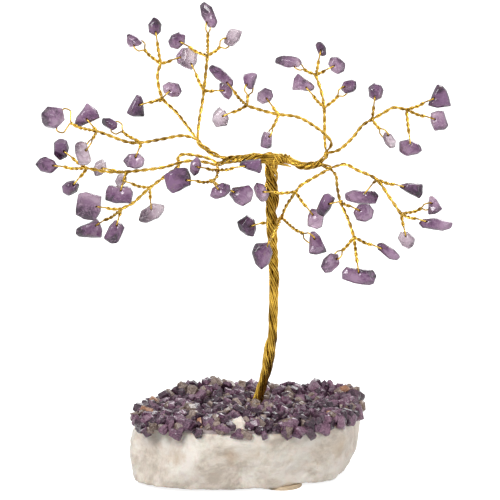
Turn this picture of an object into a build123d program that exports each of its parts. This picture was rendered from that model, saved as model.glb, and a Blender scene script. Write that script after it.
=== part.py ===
"""A gemstone tree: twelve gilt wires, each threaded with five drilled amethyst chips, are twisted into one
trunk and set in a block of white quartz, whose top is strewn with small chips in clear resin."""

import os
from cmath import exp
from itertools import permutations
from math import atan2, cos, degrees, hypot, pi, radians, sin, tau

import numpy as np
from build123d import *

# Layout board: the crown is laid out on a square board, as the tree is seen from the front and a little above.
BOARD = 175.0
BOARD_MIDDLE_SHARE = 0.49
BOARD_FLOOR_SHARE = 0.95
SIGHT_TILT = 16.0

# Wire: two thicknesses of wire twisted together make one strand, drawn here as one bar.
WIRE = 0.5
STRAND = 0.7
STRAND_SIDES = 5
LOOP_SIDES = 4
STRAND_GAP = 0.2
RING_STRANDS = 9
CORE_STRANDS = 3
BOUGH_STRANDS = 6
GROUP_STRANDS = 3
TWIST_PITCH = 45.0
MITRE_STEP = 2.3
LEAST_TURN = 2.5
FLAT_TURN = 45.0
TRUNK_STATIONS = 17
BOUGH_STATIONS = 5
GROUP_STATIONS = 3
SETTLE_ROUNDS = 40
SETTLED = 0.002
LEAST_GAP = 0.05
SEATED_POINTS = 4
SETTLE_SAMPLES = 4
STEM_SAG_SHARE = 0.06

# Drilled chips
CHIP = 7.0
CHIP_HOLE = 0.9
CHIP_EDGE = 1.5
CHIP_TAPER = 24.0
LOOP_GAP = 0.25
LOOP_NECK = 1.3
LOOP_CORNER = 0.25
LOOSE_SWING = 30.0
TIGHT_SWING = 10.0
SWING_STEPS = 6

# Base block
BLOCK_X = 0.5
BLOCK_Y = 3.54
BLOCK_LENGTH = 81.0
BLOCK_DEPTH = 55.0
BLOCK_TOP = 22.6
SOCKET_FIT = 0.25
SOCKET_DEPTH = 11.0
SOCKET_X = 3.6
SOCKET_Y = 5.0
SOCKET_LEAD = 2.0

# Pads under the block
PAD_DIAMETER = 14.0
PAD_SIDES = 24
PAD_HEIGHT = 1.2

# Bed of small chips in resin
RESIN_THICKNESS = 1.2
RESIN_COVER_SHARE = 0.96
GRIT_SPACING = 6.0
GRIT_GAP = 0.3
GRIT_HEIGHT = 3.4
GRIT_LOW_SHARE = 0.55
GRIT_TAPER = 12.0
GOLDEN_TURN = 137.5
TONE_STEP = 5
TONE_TURNS = 12
LIFT_STEP = 7
LIFTS = 5
TRUNK_GUARD = 0.6

# Binding turns round the start of the right bough
BINDING_TURNS = 3
BINDING_SIDES = 8
BINDING_FIT = 0.2
BINDING_LENGTH = 2.4
BINDING_START = 2.2

# Outlines of the drilled chips, as shares of their length and breadth. The narrow end comes first.
OUTLINE_SHARES = {
    "oval": [(-0.5, 0.0), (-0.33, -0.4), (0.1, -0.5), (0.42, -0.32), (0.5, 0.1), (0.25, 0.47), (-0.25, 0.42)],
    "wedge": [(-0.5, -0.12), (-0.2, -0.28), (0.42, -0.5), (0.5, -0.1), (0.4, 0.5), (-0.25, 0.3), (-0.48, 0.1)],
    "slab": [(-0.48, -0.36), (-0.1, -0.5), (0.44, -0.42), (0.5, 0.2), (0.36, 0.5), (-0.4, 0.44), (-0.5, 0.1)],
    "spar": [(-0.5, 0.05), (-0.38, -0.34), (0.2, -0.5), (0.46, -0.26), (0.5, 0.16), (0.1, 0.46), (-0.36, 0.42)],
    "shield": [(-0.44, -0.36), (-0.1, -0.5), (0.3, -0.3), (0.5, 0.0), (0.28, 0.34), (-0.14, 0.5), (-0.5, 0.3)],
    "leaf": [(-0.5, 0.04), (-0.3, -0.32), (0.08, -0.5), (0.36, -0.3), (0.5, -0.04), (0.2, 0.42), (-0.22, 0.46)],
}

# Axes of the trunk, the two boughs and the four groups of strands that they part into. Each place is
# (across, down, back) as shares of the board.
TRUNK_SHARES = [
    (0.519, 0.790, 0.029), (0.531, 0.748, 0.026), (0.540, 0.700, 0.023), (0.546, 0.660, 0.020),
    (0.547, 0.600, 0.020), (0.548, 0.540, 0.020), (0.544, 0.480, 0.017), (0.544, 0.400, 0.014),
    (0.543, 0.330, 0.011),
]
BOUGH_SHARES = {
    "left": [(0.531, 0.318, 0.011), (0.512, 0.315, 0.009), (0.494, 0.316, 0.006), (0.470, 0.318, 0.003),
             (0.452, 0.320, 0.000)],
    "right": [(0.555, 0.318, 0.011), (0.572, 0.317, 0.009), (0.590, 0.326, 0.006), (0.608, 0.332, 0.003),
              (0.628, 0.331, 0.000), (0.640, 0.326, 0.000)],
}
GROUP_SHARES = {
    "left_high": [(0.431, 0.311, 0.000), (0.413, 0.299, 0.000), (0.399, 0.287, 0.000), (0.393, 0.277, 0.000)],
    "left_low": [(0.441, 0.327, -0.004), (0.434, 0.329, -0.006)],
    "right_high": [(0.650, 0.315, 0.000), (0.653, 0.305, 0.000)],
    "right_low": [(0.653, 0.334, -0.006), (0.663, 0.337, -0.010)],
}

# Each branch is (group, first run, first fork, second run, second fork, chips). Places are as above. Each chip
# is (across, down, back, length, breadth, thickness, lean, turn, outline, loose): its three sizes are shares of
# CHIP, lean is the way that its long axis points and turn is how far it is turned edge on, both in degrees.
# The first two chips hang from the first fork and the other three from the second. A loose chip can turn on
# its loop.
BRANCH_SHARES = {
    "upper_left": ("left_high", [(0.364, 0.272, -0.017), (0.324, 0.279, -0.034)], (0.284, 0.286, -0.057),
                   [(0.256, 0.285, -0.068), (0.214, 0.270, -0.085)], (0.196, 0.264, -0.097), [
        (0.220, 0.248, -0.045, 0.90, 0.60, 0.45, 168, 80, "spar", True),
        (0.269, 0.322, -0.075, 1.05, 0.80, 0.42, 0, 0, "oval", False),
        (0.172, 0.236, -0.090, 1.30, 0.95, 0.50, 40, 0, "wedge", False),
        (0.108, 0.236, -0.115, 1.30, 0.95, 1.05, 180, 75, "oval", True),
        (0.167, 0.308, -0.125, 1.25, 0.72, 0.42, -75, 15, "slab", True)]),
    "top_left": ("left_high", [(0.355, 0.227, 0.057)], (0.325, 0.196, 0.086),
                 [(0.315, 0.154, 0.108)], (0.321, 0.127, 0.120), [
        (0.274, 0.212, 0.075, 1.10, 0.90, 0.45, -100, 0, "wedge", False),
        (0.344, 0.178, 0.070, 1.00, 0.75, 0.45, -20, 0, "oval", False),
        (0.310, 0.054, 0.130, 0.95, 0.72, 0.45, 100, 0, "leaf", False),
        (0.269, 0.082, 0.135, 0.85, 0.80, 0.50, 180, 50, "wedge", True),
        (0.368, 0.112, 0.125, 0.95, 0.72, 0.42, 50, 0, "oval", False)]),
    "top_inner": ("left_high", [(0.399, 0.240, 0.006), (0.405, 0.204, 0.011)], (0.408, 0.182, 0.011),
                  [(0.412, 0.143, 0.011)], (0.415, 0.113, 0.011), [
        (0.378, 0.118, 0.042, 1.05, 0.80, 0.45, 75, 0, "slab", False),
        (0.453, 0.182, 0.015, 1.00, 0.68, 0.42, -75, 0, "shield", False),
        (0.355, 0.082, 0.035, 0.95, 0.75, 0.50, 215, 0, "oval", False),
        (0.417, 0.032, 0.000, 1.45, 0.74, 0.45, 120, 20, "spar", True),
        (0.466, 0.076, 0.030, 1.00, 0.80, 0.45, 70, 50, "slab", True)]),
    "far_left": ("left_low", [(0.412, 0.325, -0.010), (0.384, 0.322, -0.013), (0.362, 0.325, -0.016),
                              (0.327, 0.335, -0.020), (0.284, 0.341, -0.030)], (0.254, 0.344, -0.040),
                 [(0.217, 0.344, -0.048)], (0.175, 0.337, -0.057), [
        (0.200, 0.336, -0.015, 1.00, 0.65, 0.40, 70, 0, "leaf", False),
        (0.239, 0.390, -0.060, 1.40, 0.90, 0.50, -5, 0, "slab", False),
        (0.123, 0.299, -0.055, 1.10, 0.80, 0.55, 85, 0, "oval", False),
        (0.094, 0.331, -0.075, 1.20, 0.80, 0.50, 175, 0, "leaf", False),
        (0.143, 0.376, -0.070, 0.95, 0.72, 0.60, 200, 0, "oval", False)]),
    "lower_left": ("left_low", [(0.420, 0.318, 0.004), (0.390, 0.311, 0.006), (0.366, 0.309, 0.009),
                                (0.356, 0.316, 0.012), (0.358, 0.330, 0.014), (0.345, 0.342, 0.016)],
                   (0.299, 0.376, 0.029), [(0.268, 0.404, 0.037)], (0.242, 0.418, 0.046), [
        (0.242, 0.361, 0.020, 0.70, 0.55, 0.45, 60, 0, "oval", False),
        (0.303, 0.426, 0.030, 1.60, 0.82, 0.42, 35, 0, "leaf", False),
        (0.177, 0.412, 0.050, 1.35, 1.28, 0.36, 80, 0, "slab", False),
        (0.176, 0.461, 0.065, 1.40, 0.98, 0.50, 12, 0, "wedge", False),
        (0.229, 0.465, 0.040, 1.15, 0.75, 0.50, 240, 0, "slab", False)]),
    "front_left": ("left_low", [], (0.436, 0.340, -0.035), [(0.434, 0.354, -0.060)], (0.425, 0.364, -0.080), [
        (0.391, 0.334, -0.060, 1.00, 0.58, 0.45, 85, 0, "leaf", False),
        (0.502, 0.331, -0.050, 1.15, 0.72, 0.50, -5, 0, "wedge", False),
        (0.356, 0.360, -0.100, 1.30, 1.10, 0.45, 200, 0, "slab", False),
        (0.440, 0.383, -0.105, 1.15, 0.70, 0.45, 25, 0, "oval", False),
        (0.484, 0.392, -0.070, 1.02, 1.28, 0.50, -86, 0, "shield", False)]),
    "back_centre": ("right_high", [(0.662, 0.290, -0.006), (0.653, 0.272, -0.017), (0.622, 0.249, -0.034),
                                   (0.594, 0.235, -0.051)], (0.557, 0.230, -0.069),
                    [(0.530, 0.224, -0.080)], (0.493, 0.213, -0.097), [
        (0.529, 0.193, -0.060, 0.90, 0.75, 0.42, 30, 0, "oval", False),
        (0.533, 0.281, -0.075, 0.85, 0.60, 0.50, -100, 15, "slab", False),
        (0.443, 0.154, -0.110, 1.50, 0.58, 0.40, 142, 0, "spar", False),
        (0.500, 0.164, -0.100, 0.85, 0.88, 0.45, 90, 40, "wedge", True),
        (0.441, 0.236, -0.105, 1.00, 0.85, 0.42, 95, 0, "shield", False)]),
    "top_right": ("right_high", [(0.650, 0.290, 0.006), (0.649, 0.257, 0.020)], (0.648, 0.216, 0.034),
                  [(0.642, 0.183, 0.040)], (0.631, 0.150, 0.046), [
        (0.607, 0.170, 0.030, 1.10, 0.85, 0.45, 160, 0, "wedge", False),
        (0.698, 0.173, 0.045, 0.90, 0.75, 0.45, 20, 40, "oval", True),
        (0.577, 0.124, 0.050, 1.40, 0.65, 0.50, 180, 30, "spar", False),
        (0.642, 0.098, 0.040, 0.80, 0.50, 0.40, -60, 0, "spar", False),
        (0.673, 0.130, 0.060, 0.95, 0.78, 0.45, -50, 0, "oval", False)]),
    "upper_right": ("right_high", [(0.678, 0.300, 0.012), (0.704, 0.277, 0.035), (0.724, 0.252, 0.060)],
                    (0.744, 0.239, 0.080), [(0.770, 0.224, 0.090), (0.788, 0.215, 0.100)],
                    (0.813, 0.219, 0.114), [
        (0.751, 0.184, 0.085, 0.90, 0.75, 0.55, 90, 0, "oval", False),
        (0.779, 0.280, 0.070, 0.95, 0.60, 0.45, -60, 30, "oval", True),
        (0.880, 0.192, 0.125, 1.15, 1.15, 0.55, -92, 0, "wedge", False),
        (0.878, 0.241, 0.115, 1.00, 0.80, 0.45, -75, 0, "slab", False),
        (0.822, 0.296, 0.100, 1.25, 0.85, 0.45, -8, 0, "shield", True)]),
    "far_right": ("right_low", [(0.690, 0.329, -0.020), (0.715, 0.341, -0.034)], (0.752, 0.359, -0.050),
                  [(0.779, 0.396, -0.066)], (0.801, 0.428, -0.080), [
        (0.723, 0.394, -0.045, 1.70, 0.70, 0.45, -5, 0, "slab", True),
        (0.822, 0.378, -0.060, 1.20, 0.75, 0.50, -15, 0, "wedge", False),
        (0.866, 0.410, -0.055, 1.05, 0.78, 0.45, -75, 30, "wedge", True),
        (0.870, 0.449, -0.105, 1.70, 0.62, 0.42, -2, 0, "spar", False),
        (0.812, 0.479, -0.090, 1.00, 0.70, 0.45, -50, 0, "oval", False)]),
    "lower_right": ("right_low", [(0.672, 0.352, -0.034), (0.674, 0.372, -0.060)], (0.680, 0.403, -0.097),
                    [(0.696, 0.440, -0.130)], (0.707, 0.474, -0.154), [
        (0.650, 0.410, -0.115, 1.20, 0.65, 0.50, 62, 0, "slab", False),
        (0.726, 0.425, -0.120, 1.00, 0.95, 0.42, 0, 0, "oval", False),
        (0.661, 0.526, -0.165, 1.14, 0.90, 0.45, 230, 30, "oval", True),
        (0.717, 0.552, -0.185, 1.70, 0.80, 0.45, -10, 0, "slab", False),
        (0.775, 0.503, -0.170, 1.30, 0.56, 0.42, -32, 0, "spar", False)]),
    "front_right": ("right_low", [(0.639, 0.349, -0.034), (0.603, 0.370, -0.034)], (0.591, 0.384, -0.030),
                    [(0.572, 0.412, 0.000)], (0.563, 0.434, 0.023), [
        (0.522, 0.384, -0.030, 1.05, 0.65, 0.42, -65, 0, "oval", False),
        (0.631, 0.438, -0.050, 0.95, 0.80, 0.42, -100, 0, "slab", False),
        (0.496, 0.454, 0.060, 1.10, 0.90, 0.50, -60, 0, "shield", False),
        (0.631, 0.486, -0.030, 1.30, 0.98, 0.50, -82, 35, "wedge", True),
        (0.524, 0.512, -0.040, 1.40, 1.05, 0.50, -92, 0, "shield", True)]),
}

# Plan of the block, as shares of its half length and half depth.
BLOCK_PLAN_SHARES = [
    (-0.98, 0.01), (-0.97, -0.42), (-0.92, -0.71), (-0.80, -0.84), (-0.42, -0.96), (-0.15, -1.00),
    (0.25, -0.97), (0.47, -0.86), (0.69, -0.67), (0.86, -0.45), (0.98, 0.09), (1.00, 0.64), (0.93, 0.88),
    (0.68, 0.95), (0.10, 1.00), (-0.42, 0.97), (-0.60, 0.82), (-0.72, 0.48), (-0.88, 0.26),
]

# Levels of the block: (height, width, shift to the right, shift to the back) as shares of its size.
BLOCK_LEVEL_SHARES = [
    (0.0, 0.94, -0.045, 0.02), (0.35, 1.0, -0.02, 0.0), (0.7, 1.0, 0.0, -0.03), (1.0, 0.97, 0.02, -0.05),
]

# Places of the four pads, as shares of the block's half length and half depth.
PAD_SHARES = {
    "front_left": (-0.50, -0.40), "front_right": (0.32, -0.48),
    "back_left": (-0.34, 0.45), "back_right": (0.58, 0.40),
}

# Flats struck off the block: (heading in degrees, tilt of the flat in degrees, distance as a share of the half
# length or half depth that way, height of that distance as a share of the block's height).
STRUCK_FLATS = [
    (-86, -16, 1.00, 0.84), (-66, -18, 1.00, 0.84), (-42, -34, 1.00, 0.20), (2, -20, 1.00, 0.24),
    (44, -24, 1.04, 0.30),
    (92, -20, 1.00, 0.25), (150, -20, 1.05, 0.20), (174, 12, 0.97, 0.90), (-128, 10, 1.04, 0.80),
    (-98, -14, 1.02, 0.20), (30, 14, 1.12, 0.90),
]

# Which chips of the bed are of each tone, out of every dozen.
GRIT_TONES = {"dark": (0, 4, 9), "violet": (1, 3, 6, 8, 11), "pale": (2, 5, 10), "amber": (7,)}
GRIT_SHARES = [(0.5, 0.05), (0.2, 0.46), (-0.34, 0.38), (-0.47, -0.2), (0.12, -0.48)]

TILT_SIN, TILT_COS = sin(radians(SIGHT_TILT)), cos(radians(SIGHT_TILT))
RIGHT = Vector(1, 0, 0)
UP = Vector(0, TILT_SIN, TILT_COS)
TO_VIEWER = Vector(0, -TILT_COS, TILT_SIN)
SLOT_SPACING = STRAND + STRAND_GAP
TRUNK_RADIUS = SLOT_SPACING / (2 * sin(pi / RING_STRANDS)) + STRAND / 2
BOUGH_RADIUS = SLOT_SPACING + STRAND / 2
SOCKET_RADIUS = TRUNK_RADIUS + SOCKET_FIT
SOCKET = (BLOCK_X + SOCKET_X, BLOCK_Y + SOCKET_Y)


def place(across_share, down_share, back_share):
    """The point of the crown that stands at this place on the layout board."""
    back = BOARD * back_share
    up = BOARD * (BOARD_FLOOR_SHARE - down_share)
    across = BOARD * (across_share - BOARD_MIDDLE_SHARE)
    return Vector(BLOCK_X + across, BLOCK_Y + back, (up - back * TILT_SIN) / TILT_COS)


def on_block(x_share, y_share, level=(0, 1, 0, 0)):
    """The place on the block's plan at these shares of its half length and half depth, at one of its levels."""
    height, width, right, back = level
    x, y = width * x_share + right, width * y_share + back
    return BLOCK_X + BLOCK_LENGTH / 2 * x, BLOCK_Y + BLOCK_DEPTH / 2 * y


def smooth(points, count):
    """Points at even steps along a smooth curve through these points."""
    ends = [points[0] * 2 - points[1], *points, points[-1] * 2 - points[-2]]
    marks = [0.0]
    for before, after in zip(points, points[1:]):
        marks.append(marks[-1] + (after - before).length)
    curve = []
    for step in range(count + 1):
        along = marks[-1] * step / count
        run = max(number for number, mark in enumerate(marks[:-1]) if mark <= along)
        t = (along - marks[run]) / (marks[run + 1] - marks[run])
        a, b, c, d = ends[run:run + 4]
        bend = (a * 2 - b * 5 + c * 4 - d) * t**2 + (b * 3 - a - c * 3 + d) * t**3
        curve.append(b + ((c - a) * t + bend) / 2)
    return curve


def frames(stations, side):
    """The two directions square to the line at each station, with no twist from one to the next."""
    pairs = []
    for here, station in enumerate(stations):
        behind, ahead = stations[max(here - 1, 0)], stations[min(here + 1, len(stations) - 1)]
        tangent = (ahead - behind).normalized()
        side = (side - tangent * side.dot(tangent)).normalized()
        pairs.append((side, tangent.cross(side)))
    return pairs


def ring(count):
    """Places of strands that touch side by side in a ring, as complex numbers."""
    radius = SLOT_SPACING / (2 * sin(pi / count))
    return [radius * exp(1j * tau * number / count) for number in range(count)]


def nearest_slots(offsets, slots, turns=36):
    """The slot for each offset, with the slots turned together, that moves the strands least."""
    best = None
    for turn in range(turns):
        turned = [slot * exp(1j * tau * turn / turns) for slot in slots]
        for order in permutations(turned):
            cost = sum(abs(a - b) ** 2 for a, b in zip(offsets, order))
            if best is None or cost < best[0]:
                best = (cost, order)
    return list(best[1])


def settle(lines, held):
    """Eases strands apart where they would cut into each other. The points that held numbers stay."""
    apart = STRAND + STRAND_GAP / 2
    paths = [np.array([tuple(point) for point in line]) for line in lines]
    blends = []
    for path in paths:
        blend = np.zeros(((len(path) - 1) * SETTLE_SAMPLES + 1, len(path)))
        for row in range(len(blend)):
            run, part = divmod(row, SETTLE_SAMPLES)
            blend[row, run] = 1 - part / SETTLE_SAMPLES
            if part:
                blend[row, run + 1] = part / SETTLE_SAMPLES
        blends.append(blend)
    for _ in range(SETTLE_ROUNDS):
        largest = 0.0
        samples = [blend @ path for blend, path in zip(blends, paths)]
        for number, here in enumerate(samples):
            push = np.zeros_like(here)
            rows = np.arange(len(here))
            for there in samples[:number] + samples[number + 1:]:
                gaps = here[:, None] - there[None]
                distances = np.linalg.norm(gaps, axis=2)
                nearest = distances.argmin(axis=1)
                close = np.maximum(distances[rows, nearest], LEAST_GAP)[:, None]
                push += gaps[rows, nearest] / close * np.maximum(apart - close, 0) / 2
            move = blends[number].T @ push / blends[number].sum(axis=0)[:, None]
            move[held[number]] = 0
            paths[number] += move
            largest = max(largest, np.abs(move).max())
        if largest < SETTLED:
            break
    return [[Vector(*point) for point in path] for path in paths]


def twist_after(travelled):
    """How far a bundle's strands have turned round it after a distance, as a point of the unit circle."""
    return exp(-1j * tau * travelled / TWIST_PITCH)


def advance(strands, stations, side, travelled):
    """Carries twisted strands along an axis. Returns the side direction and the distance at its end."""
    pairs = frames(stations, side)
    for here, (x_dir, y_dir) in enumerate(pairs):
        if here:
            travelled += (stations[here] - stations[here - 1]).length
        twist = twist_after(travelled)
        for strand in strands:
            offset = strand["slot"] * twist
            if here or not strand["points"]:
                strand["points"].append(stations[here] + x_dir * offset.real + y_dir * offset.imag)
    return pairs[-1][0], travelled


def regroup(strands, slots, travelled):
    """Moves strands into the slots of a smaller bundle."""
    twist = twist_after(travelled)
    offsets = [strand["slot"] * twist for strand in strands]
    middle = sum(offsets) / len(offsets)
    for strand, slot in zip(strands, nearest_slots([offset - middle for offset in offsets], slots)):
        strand["slot"] = slot / twist


def lay_strands():
    """Leads the twelve strands up the trunk, along their bough and group. Returns {branch: points}."""
    core = [slot * exp(1j * pi / RING_STRANDS) for slot in ring(CORE_STRANDS)]
    strands = [{"slot": slot, "points": []} for slot in ring(RING_STRANDS) + core]
    foot = Vector(*SOCKET, BLOCK_TOP)
    floor = BLOCK_TOP - SOCKET_DEPTH
    start = foot - Vector(0, 0, SOCKET_DEPTH - SOCKET_LEAD)
    trunk = smooth([start, foot] + [place(*share) for share in TRUNK_SHARES], TRUNK_STATIONS)
    side, travelled = advance(strands, trunk, RIGHT, 0.0)
    for strand in strands:
        first = strand["points"][0]
        strand["points"].insert(0, Vector(first.X, first.Y, floor))
    twist = twist_after(travelled)
    strands.sort(key=lambda strand: (strand["slot"] * twist).real)
    led = {}
    for bough, half in (("left", strands[:BOUGH_STRANDS]), ("right", strands[BOUGH_STRANDS:])):
        around = [SLOT_SPACING * exp(1j * tau * number / (BOUGH_STRANDS - 1)) for number in range(BOUGH_STRANDS - 1)]
        regroup(half, [0] + around, travelled)
        arm = [trunk[-1]] + smooth([place(*share) for share in BOUGH_SHARES[bough]], BOUGH_STATIONS)
        bough_side, reached = advance(half, arm, side, travelled)
        tip, before = arm[-1], arm[-2]
        tangent = (tip - before).normalized()
        over = tangent.cross(bough_side)
        high, low = (place(*GROUP_SHARES[f"{bough}_{level}"][0]) for level in ("high", "low"))
        parting = high - low
        toward = complex(parting.dot(bough_side), parting.dot(over))
        twist = twist_after(reached)
        half.sort(key=lambda strand: -(strand["slot"] * twist * toward.conjugate()).real)
        for level, three in (("high", half[:GROUP_STRANDS]), ("low", half[GROUP_STRANDS:])):
            regroup(three, ring(GROUP_STRANDS), reached)
            group = f"{bough}_{level}"
            line = [tip] + smooth([place(*share) for share in GROUP_SHARES[group]], GROUP_STATIONS)
            advance(three, line, bough_side, reached)
            names = [name for name, branch in BRANCH_SHARES.items() if branch[0] == group]
            aims = [place(*(BRANCH_SHARES[name][1] + [BRANCH_SHARES[name][2]])[0]) for name in names]
            order = min(permutations(three), key=lambda tried: sum(
                (strand["points"][-1] - aim).length for strand, aim in zip(tried, aims)))
            led |= {name: strand["points"] for name, strand in zip(names, order)}
    return led


def reach(outline, angle):
    """How far the outline lies from its origin in a direction, in degrees."""
    ray = exp(1j * radians(angle))
    found = 0.0
    for (x0, y0), (x1, y1) in zip(outline, outline[1:] + outline[:1]):
        start, end = complex(x0, y0) / ray, complex(x1, y1) / ray
        if (start.imag > 0) != (end.imag > 0):
            crossing = start.real + (end.real - start.real) * start.imag / (start.imag - end.imag)
            found = max(found, crossing)
    return found


class DrilledChip:
    """A drilled chip and the loop of wire through it. Its plane lies through its middle and has its origin
    at the hole's centre, its X along the chip's long axis and its Z along the hole."""

    def __init__(self, fork, row):
        across, down, back, length, breadth, thickness, lean, turn, outline, self.loose = row
        centre = place(across, down, back)
        flat = TO_VIEWER.cross((fork - centre).cross(TO_VIEWER)).normalized()
        long_way = RIGHT * cos(radians(lean)) + UP * sin(radians(lean))
        toward = Axis((0, 0, 0), flat)
        self.axis = TO_VIEWER.rotate(toward, turn)
        self.long_way = long_way.rotate(toward, turn)
        self.broad_way = self.axis.cross(self.long_way)
        self.thickness = thickness * CHIP
        shape = [(length * CHIP * x, breadth * CHIP * y) for x, y in OUTLINE_SHARES[outline]]
        heading = degrees(atan2(flat.dot(self.broad_way), flat.dot(self.long_way)))
        inset = max(reach(shape, heading) - CHIP_EDGE, 0.0)
        hole = inset * exp(1j * radians(heading))
        self.hole = centre + flat * inset
        self.outline = [(x - hole.real, y - hole.imag) for x, y in shape]
        self.to_neck = flat
        swing = LOOSE_SWING if self.loose else TIGHT_SWING
        angles = [heading + swing * step / SWING_STEPS for step in range(-SWING_STEPS, SWING_STEPS + 1)]
        self.edge = max(reach(self.outline, angle) for angle in angles)

    def loop(self):
        """The route of the wire loop, from the neck through the hole and back to the neck."""
        stand = self.thickness / 2 + (LOOP_GAP if self.loose else 0) + WIRE / 2
        shoulder = self.edge + LOOP_GAP + WIRE / 2
        neck = self.hole + self.to_neck * (shoulder + LOOP_NECK)
        half = [(shoulder, stand), (LOOP_CORNER, stand), (0, stand - LOOP_CORNER)]
        legs = [self.hole + self.to_neck * out + self.axis * off for out, off in half]
        legs += [self.hole + self.to_neck * out - self.axis * off for out, off in reversed(half)]
        splay = self.axis * (WIRE / 2)
        return [neck + splay] + legs + [neck - splay], neck

    def body(self, name):
        """The chip's solid: its upper half, which tapers from its rim, and the mirror image of that."""
        up = 1 if self.axis.Z > 0 else -1
        plane = Plane(origin=self.hole, x_dir=self.long_way, z_dir=self.axis * up)
        with BuildPart() as chip:
            with BuildSketch(plane):
                with BuildLine():
                    Polyline(*[(x, y * up) for x, y in self.outline], close=True)
                make_face()
            extrude(amount=self.thickness / 2, taper=CHIP_TAPER)
            mirror(about=plane)
            with BuildSketch(plane):
                if self.loose:
                    Circle(CHIP_HOLE / 2)
                else:
                    RegularPolygon(CHIP_HOLE / 2, 6)
            extrude(amount=self.thickness, both=True, mode=Mode.SUBTRACT)
        chip.part.label = name
        return chip.part


def spaced(points):
    """The points without those that follow another too closely for a clean mitre."""
    kept = [points[0]]
    for point in points[1:-1]:
        if (point - kept[-1]).length > MITRE_STEP and (points[-1] - point).length > MITRE_STEP:
            kept.append(point)
    return kept + [points[-1]]


def turned(points):
    """The points without those where the line hardly turns."""
    kept = points[:1]
    for point, after in zip(points[1:-1], points[2:]):
        if (point - kept[-1]).get_angle(after - point) > LEAST_TURN:
            kept.append(point)
    return kept + points[-1:]


def run_wire(points, width, sides, flat=None):
    """Wire of a polygon section along straight runs."""
    points = turned(points)
    ahead = points[1] - points[0]
    with BuildLine(mode=Mode.PRIVATE) as route:
        Polyline(*points)
    start = Plane(origin=points[0], x_dir=flat, z_dir=ahead)
    with BuildSketch(start, mode=Mode.PRIVATE) as section:
        RegularPolygon(width / 2, sides, major_radius=flat is None, rotation=0 if flat is None else FLAT_TURN)
    path = route.wire()
    return sweep(section.sketch, path=path, transition=Transition.RIGHT, clean=False, mode=Mode.PRIVATE)


def stem(fork, neck, chip):
    """Points of the twisted stem from its fork to the loop's neck."""
    span = (neck - fork).length
    bend = neck + chip.to_neck * (span / 3) + UP * (-STEM_SAG_SHARE * span)
    tuck = neck - chip.to_neck * (STRAND / 2)
    return [fork, bend, tuck]


def save(solids, name):
    """Writes one node."""
    group = Compound(label=name, children=solids) if len(solids) > 1 else solids[0]
    group.label = name
    export_step(group, f"parts/{name}.step")


def lay_branches():
    """Leads each strand on from its group to its two forks, and settles them. Returns {branch: points}."""
    lines, held = {}, []
    for name, led in lay_strands().items():
        group, first_run, first_fork, second_run, second_fork, rows = BRANCH_SHARES[name]
        out = [led[-1]] + [place(*share) for share in first_run] + [place(*first_fork)]
        on = [place(*first_fork)] + [place(*share) for share in second_run] + [place(*second_fork)]
        first_leg = spaced(led + smooth(out, len(out) + 1)[1:])
        lines[name] = first_leg + smooth(on, len(on) + 1)[1:]
        held.append([*range(SEATED_POINTS), len(first_leg) - 1, len(lines[name]) - 1])
    return dict(zip(lines, settle(list(lines.values()), held)))


def make_branch(name, line):
    """One continuous wire from the trunk's foot to its five loops, and the chips on it."""
    group, first_run, first_fork, second_run, second_fork, rows = BRANCH_SHARES[name]
    forks = [place(*first_fork), place(*second_fork)]
    chips = [DrilledChip(forks[0 if number < 2 else 1], row) for number, row in enumerate(rows)]
    with BuildPart() as wire:
        runs = [run_wire(line, STRAND, STRAND_SIDES)]
        for number, chip in enumerate(chips):
            route, neck = chip.loop()
            runs.append(run_wire(stem(forks[0 if number < 2 else 1], neck, chip), STRAND, LOOP_SIDES))
            runs.append(run_wire(route, WIRE, LOOP_SIDES, chip.axis))
        add(runs, clean=False)
    wire.part.label = f"wire_{name}"
    return wire.part, chips


def make_block():
    """The block of white quartz, with flats struck off it and the drilled socket for the trunk."""
    half_length, half_depth = BLOCK_LENGTH / 2, BLOCK_DEPTH / 2
    height = BLOCK_TOP - PAD_HEIGHT
    with BuildPart() as block:
        for level in BLOCK_LEVEL_SHARES:
            with BuildSketch(Plane.XY.offset(PAD_HEIGHT + level[0] * height)):
                with BuildLine():
                    Polyline(*[on_block(x, y, level) for x, y in BLOCK_PLAN_SHARES], close=True)
                make_face()
        loft(ruled=True)
        for heading, tilt, share, level in STRUCK_FLATS:
            c, s = cos(radians(heading)), sin(radians(heading))
            far = share / hypot(c / half_length, s / half_depth)
            out = Vector(c * cos(radians(tilt)), s * cos(radians(tilt)), sin(radians(tilt)))
            at = Vector(BLOCK_X + far * c, BLOCK_Y + far * s, PAD_HEIGHT + level * height)
            split(bisect_by=Plane(origin=at, z_dir=out), keep=Keep.BOTTOM)
        with Locations((*SOCKET, BLOCK_TOP)):
            Hole(SOCKET_RADIUS, depth=SOCKET_DEPTH)
    block.part.label = "base_block"
    return block.part


def make_pad(name, share):
    """One soft pad under the block."""
    with BuildPart() as pad:
        with BuildSketch():
            with Locations(on_block(*share)):
                RegularPolygon(PAD_DIAMETER / 2, PAD_SIDES)
        extrude(amount=PAD_HEIGHT)
    pad.part.label = name
    return pad.part


def bed_outline(cover):
    """The outline of the bed on the block's top."""
    return [on_block(x * cover, y * cover, BLOCK_LEVEL_SHARES[-1]) for x, y in BLOCK_PLAN_SHARES]


def make_resin():
    """The skin of clear resin that holds the bed and the foot of the trunk."""
    with BuildPart() as resin:
        with BuildSketch(Plane.XY.offset(BLOCK_TOP)):
            with BuildLine():
                Polyline(*bed_outline(RESIN_COVER_SHARE), close=True)
            make_face()
        extrude(amount=RESIN_THICKNESS)
        with Locations((*SOCKET, BLOCK_TOP + RESIN_THICKNESS)):
            Hole(SOCKET_RADIUS)
    resin.part.label = "resin"
    return resin.part


def inside(outline, x, y):
    """Whether the point lies inside the outline."""
    found = False
    for (x0, y0), (x1, y1) in zip(outline, outline[1:] + outline[:1]):
        if (y0 > y) != (y1 > y) and x < x0 + (x1 - x0) * (y - y0) / (y1 - y0):
            found = not found
    return found


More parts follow.
